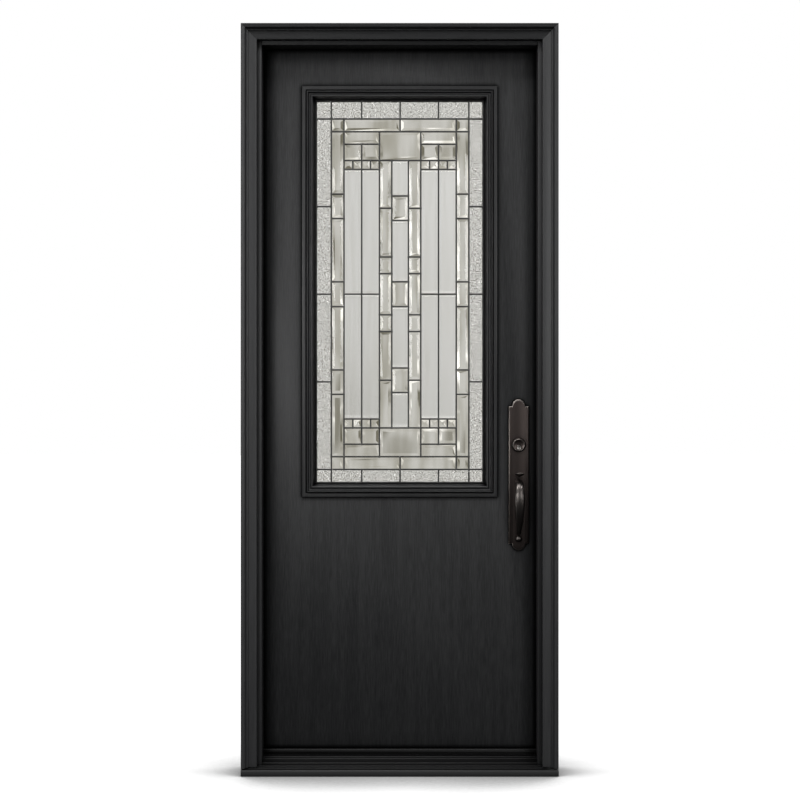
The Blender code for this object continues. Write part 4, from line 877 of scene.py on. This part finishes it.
def build_plug():
    """Key plug with a rounded rim and a keyway cut into its face."""
    radius = (PLUG_HIGH.x - PLUG_LOW.x) / 2
    proud = PLUG_HIGH.y - PLUG_LOW.y
    slot_half, slot_tall = 0.0011, radius * 0.66
    angles = [2 * math.pi * step / PLUG_STEPS for step in range(PLUG_STEPS)]
    rings = []
    for share, up in PLUG_RIM:
        reach = radius * share
        rings.append([Vector((reach * math.cos(angle), reach * math.sin(angle), proud * up))
                      for angle in angles])
    for up in (0.88, 0.25):
        ring = []
        for angle in angles:
            reach = 1 / max(abs(math.cos(angle)) / slot_half, abs(math.sin(angle)) / slot_tall)
            ring.append(Vector((reach * math.cos(angle), reach * math.sin(angle), proud * up)))
        rings.append(ring)
    bm = bmesh.new()
    loft(bm, rings)
    place = Matrix.Translation((HANDLE_X, PLUG_HIGH.y, middle(PLUG_LOW.z, PLUG_HIGH.z)))
    bmesh.ops.transform(bm, matrix=place @ OUTWARD, verts=bm.verts)
    add_piece("lock_plug", mesh_from("lock_plug", bm, METAL_ANGLE), NICKEL, "plug", ["key_plug"])


def build_grip_screw():
    """The domed screw under the grip's foot."""
    radius = (SCREW_HIGH.x - SCREW_LOW.x) / 2
    proud = SCREW_HIGH.y - SCREW_LOW.y
    angles = [math.radians(degrees) for degrees in range(4, 94, 6)]
    profile = [(radius * math.sin(angle), proud * math.cos(angle)) for angle in angles]
    profile.append((radius, 0.0))
    place = (HANDLE_X, SCREW_HIGH.y, middle(SCREW_LOW.z, SCREW_HIGH.z))
    mesh = turned_mesh("foot_screw", profile, place, 40)
    add_piece("foot_screw", mesh, GRIP_BRONZE, "door", ["grip_foot_screw"])


# CAD pieces that stay, with softened edges


WELD_REACH = 0.00001
RELAX_STEPS = 8


def welded(name, material):
    """A CAD piece kept as it is, with its finish set and its faces joined for smooth shading."""
    obj = NODES[name]
    obj.data.materials.clear()
    obj.data.materials.append(material)
    weld = obj.modifiers.new("weld", "WELD")
    weld.merge_threshold = WELD_REACH
    obj.data.shade_smooth()
    return obj


def soften(name, material, width, segments=2, angle=25):
    """A CAD piece with its edges eased."""
    bevel = welded(name, material).modifiers.new("eased", "BEVEL")
    bevel.width = width
    bevel.segments = segments
    bevel.limit_method = "ANGLE"
    bevel.angle_limit = math.radians(angle)
    bevel.harden_normals = True


def rounded(name, material, levels):
    """A lofted CAD piece smoothed by subdivision."""
    obj = welded(name, material)
    soft = obj.modifiers.new("smooth", "SUBSURF")
    soft.levels = levels
    soft.render_levels = levels
    relaxed = obj.modifiers.new("relaxed", "SMOOTH")
    relaxed.iterations = RELAX_STEPS


def finish_cad_pieces():
    """Finishes and eased edges of all the pieces that no finer piece stands for."""
    for name in ("jamb_hinge_side", "jamb_latch_side"):
        soften(name, PAINT_UP_LIT, 0.0016, 3)
    soften("jamb_head", PAINT_ACROSS_SHADED, 0.0016, 3)
    soften("door_slab", FIBREGLASS, 0.0006)
    soften("sill_deck", DECK_FINISH, 0.0005, angle=15)
    soften("sill_substrate", COMPOSITE, 0.0004)
    soften("threshold_cap", COMPOSITE, 0.0006)
    for name in ("weatherstrip_left", "weatherstrip_right", "weatherstrip_head", "door_sweep"):
        soften(name, RUBBER, 0.0002)
    for number in (1, 2, 3):
        for part in ("frame_leaf", "door_leaf", "pin"):
            soften(f"hinge_{number}_{part}", NICKEL, 0.0003, angle=50)
    for name in ("lock_faceplate", "strike_plate", "deadbolt", "latch_bolt"):
        soften(name, NICKEL, 0.0005)
    soften("inside_plate", BRONZE, 0.0010, 3)
    soften("inside_thumb_turn", BRONZE, 0.0006, 3, 35)
    rounded("handle_grip", GRIP_BRONZE, 2)
    # The thumb piece takes the pale bronze: a painted highlight.
    rounded("thumb_piece", HIGHLIGHT_BRONZE, 2)
    rounded("inside_knob", BRONZE, 1)


# Stage, light and camera


FLOOR_HALF = 30.0
FLOOR_DROP = 0.0012


def build_floor():
    """A white glowing floor with a painted shadow where the sill stands on it."""
    bm = bmesh.new()
    corners = ((-1, -1), (1, -1), (1, 1), (-1, 1))
    bm.faces.new([bm.verts.new((x * FLOOR_HALF, y * FLOOR_HALF, -FLOOR_DROP)) for x, y in corners])
    mesh = mesh_from("floor", bm)
    obj = bpy.data.objects.new("floor", mesh)
    bpy.context.scene.collection.objects.link(obj)
    material = bpy.data.materials.new("white_floor")
    material.use_nodes = True
    tree = material.node_tree
    tree.nodes.clear()
    # A broad painted shadow that clears quickly towards its edge
    open_floor = open_share(tree, *FLOOR_SHADE)
    lift = ranged(tree, open_floor, 0.50, 0.74, 0.0, 0.30)
    shade = combined(tree, combined(tree, open_floor, 0.93, "MULTIPLY"), lift)
    glow = node(tree, "ShaderNodeEmission", {"Strength": shade})
    out = node(tree, "ShaderNodeOutputMaterial")
    tree.links.new(glow.outputs[0], out.inputs["Surface"])
    mesh.materials.append(material)
    obj.visible_diffuse = False
    obj.visible_glossy = False
    obj.visible_transmission = False


PALE_WALL, WARM_WALL = (0.645, 0.64, 0.62), (0.42, 0.405, 0.345)
SHADY = (0.20, 0.19, 0.145)
SHAPE_DARK, SHAPE_MIDDLE, SHAPE_BRIGHT = (0.20, 0.19, 0.15), (0.60, 0.59, 0.56), (1.20, 1.19, 1.16)
CEILING = (1.6, 1.6, 1.6)
# Dim soft shapes behind the glass: (direction across, up), (half width, half height), strength
SHADY_PLACES = (
    ((-0.0370, -0.0060), (0.0095, 0.0330), 0.80),
    ((-0.0080, -0.0050), (0.0060, 0.0150), 0.75),
    ((0.0370, -0.0280), (0.0110, 0.0200), 0.55),
    ((0.0340, 0.0800), (0.0040, 0.0300), 0.25),
    ((0.0, -0.0240), (0.0160, 0.0110), 0.35),
)


def direction_noise(tree, direction, scale, detail):
    """Noise over directions, stretched by a scale for each axis."""
    place = node(tree, "ShaderNodeMapping", {"Vector": direction, "Scale": scale}).outputs["Vector"]
    inputs = {"Vector": place, "Scale": 1.0, "Detail": detail}
    return node(tree, "ShaderNodeTexNoise", inputs).outputs["Fac"]


def build_world():
    """White behind the object; a soft studio with brighter and darker parts in the glass and gloss."""
    world = bpy.data.worlds.new("studio")
    world.use_nodes = True
    bpy.context.scene.world = world
    tree = world.node_tree
    tree.nodes.clear()
    direction = node(tree, "ShaderNodeTexCoord").outputs["Generated"]
    parts = node(tree, "ShaderNodeSeparateXYZ", {"Vector": direction}).outputs
    across, depth, up = parts["X"], parts["Y"], parts["Z"]

    # In front of the door: dim below, brighter above
    front = ranged(tree, up, -0.15, 0.80, 0.02, 0.50)

    # Straight behind the glass: an even pale wall with faint warm patches
    patches = direction_noise(tree, direction, (46.0, 1.0, 24.0), 2.0)
    wall = mixed(tree, ranged(tree, patches, 0.52, 0.70, 0.0, 0.35), PALE_WALL, WARM_WALL)
    for centre, reach, share in SHADY_PLACES:
        shift = (-centre[0], 0.0, -centre[1])
        spot = node(tree, "ShaderNodeMapping", {"Vector": direction, "Location": shift}).outputs["Vector"]
        shares = {0: spot, 1: (1 / reach[0], 0.0, 1 / reach[1])}
        near = node(tree, "ShaderNodeVectorMath", shares, operation="MULTIPLY").outputs["Vector"]
        far = node(tree, "ShaderNodeVectorMath", {0: near}, operation="LENGTH").outputs["Value"]
        wall = mixed(tree, ranged(tree, far, 0.55, 1.05, share, 0.0), wall, SHADY)

    # Further off: strong light and dark shapes, which only bevels and rolled glass bend into view
    shapes = direction_noise(tree, direction, (24.0, 1.0, 55.0), 3.0)
    around_wall = mixed(tree, ranged(tree, shapes, 0.36, 0.47, 0.0, 1.0), SHAPE_DARK, SHAPE_MIDDLE)
    around_wall = mixed(tree, ranged(tree, shapes, 0.54, 0.62, 0.0, 1.0), around_wall, SHAPE_BRIGHT)
    wide = ranged(tree, combined(tree, across, 0.0, "ABSOLUTE"), 0.060, 0.095, 0.0, 1.0)
    high = ranged(tree, up, 0.175, 0.215, 0.0, 1.0)
    low = ranged(tree, up, -0.095, -0.060, 1.0, 0.0)
    off = combined(tree, wide, combined(tree, high, low, "MAXIMUM"), "MAXIMUM")
    back = mixed(tree, off, wall, around_wall)
    back = mixed(tree, ranged(tree, up, 0.45, 0.70, 0.0, 1.0), back, CEILING)
    around = mixed(tree, ranged(tree, depth, -0.25, 0.25, 0.0, 1.0), front, back)

    seen = node(tree, "ShaderNodeLightPath").outputs["Is Camera Ray"]
    colour = mixed(tree, seen, around, WHITE)
    background = node(tree, "ShaderNodeBackground", {"Color": colour, "Strength": 1.0})
    out = node(tree, "ShaderNodeOutputWorld")
    tree.links.new(background.outputs[0], out.inputs["Surface"])


def add_area(name, place, target, width, height, power, only=None):
    """A soft rectangular light, unseen itself, that may be kept to one set of pieces."""
    data = bpy.data.lights.new(name, "AREA")
    data.shape = "RECTANGLE"
    data.size = width
    data.size_y = height
    data.energy = power
    obj = bpy.data.objects.new(name, data)
    obj.location = place
    obj.rotation_euler = (Vector(target) - Vector(place)).to_track_quat("-Z", "Y").to_euler()
    obj.visible_camera = False
    obj.visible_transmission = False
    if only:
        obj.light_linking.receiver_collection = only
    bpy.context.scene.collection.objects.link(obj)


HANDLE_HEIGHT = 0.86           # the hardware's lights aim here


def build_lights():
    """Soft lights on the whole door, and small ones for the shine on the handleset alone."""
    hardware = bpy.data.collections.new("hardware")
    for name in ("escutcheon", "lock_collar", "lock_plug", "foot_screw", "handle_grip", "thumb_piece"):
        hardware.objects.link(bpy.data.objects[name])
    handle = (HANDLE_X, PLATE_FACE_Y, HANDLE_HEIGHT)
    add_area("key_left", (-2.0, -4.8, 1.8), (-0.1, 0.0, 1.2), 1.9, 1.2, 49.0)
    add_area("key_right", (2.6, -4.8, 1.9), (0.0, 0.0, 1.2), 1.2, 1.2, 25.0)
    add_area("fill_right", (1.35, -5.2, 1.62), (0.2, 0.0, 1.35), 1.1, 1.1, 6.0)
    add_area("overhead", (-0.2, -1.9, 4.4), (0.0, 0.0, 0.7), 2.0, 0.8, 38.0)
    add_area("handle_side", (-2.2, -1.4, 0.75), handle, 0.25, 1.2, 8.0, hardware)
    add_area("handle_side_right", (2.4, -1.2, 0.95), handle, 0.20, 1.2, 15.0, hardware)
    add_area("handle_top_left", (-0.85, -1.3, 2.75), handle, 0.30, 0.30, 9.0, hardware)
    add_area("handle_top_right", (1.50, -1.3, 2.75), handle, 0.30, 0.30, 9.0, hardware)
    add_area("inside_fill", (0.8, 4.5, 2.4), (0.0, 0.0, 1.1), 1.6, 1.6, 32.0)


SENSOR_WIDTH = 36.0
IMAGE_WIDTH = 800
PIXELS_PER_METRE = 352.5       # at the casing's face
CAMERA_DISTANCE = 5.17         # from the casing's face
CAMERA_X = 0.0009
CAMERA_HEIGHT = 1.0674


def build_camera():
    """Level camera straight in front, as far off as the photo's perspective says."""
    data = bpy.data.cameras.new("camera")
    data.sensor_width = SENSOR_WIDTH
    data.lens = PIXELS_PER_METRE * CAMERA_DISTANCE / IMAGE_WIDTH * SENSOR_WIDTH
    obj = bpy.data.objects.new("camera", data)
    obj.location = (CAMERA_X, CASING_LOW.y - CAMERA_DISTANCE, CAMERA_HEIGHT)
    obj.rotation_euler = (math.radians(90), 0, 0)
    bpy.context.scene.collection.objects.link(obj)
    bpy.context.scene.camera = obj


build_casing()
reach_outside = LITE_HIGH.y + GAP - SLAB_LOW.y
reach_inside = SLAB_HIGH.y + GAP - LITE_INSIDE_LOW.y
build_lite_frame("lite_moulding_outside", SLAB_LOW.y, -1, reach_outside, "lite_frame_outside")
build_lite_frame("lite_moulding_inside", SLAB_HIGH.y, 1, reach_inside, "lite_frame_inside")
build_leading("leading_outside", GLASS_FACE, -1, "came_lattice_outside")
build_leading("leading_inside", GLASS_BACK, 1, "came_lattice_inside")
build_solder("solder_outside", GLASS_FACE, -1)
build_solder("solder_inside", GLASS_BACK, 1)
build_bevelled()
textured = [light for light in LIGHTS if light[4] == "textured"]
upright = [light for light in textured if light[3] - light[2] > light[1] - light[0]]
others = [light for light in textured if light not in upright]
drawn = [light for light in LIGHTS if light[4] == "drawn"]
build_sheets("granite_lights_sides", upright, GRANITE, 0.0010, 0.0011, granite)
build_sheets("granite_lights_ends", others, GRANITE, 0.0010, 0.0010, granite)
build_sheets("drawn_lights", drawn, DRAWN, 0.0015, 0.0120, reeds)
build_plate()
build_collar()
build_plug()
build_grip_screw()
finish_cad_pieces()
build_floor()
build_world()
build_lights()
build_camera()
bpy.context.scene.view_settings.view_transform = "Standard"
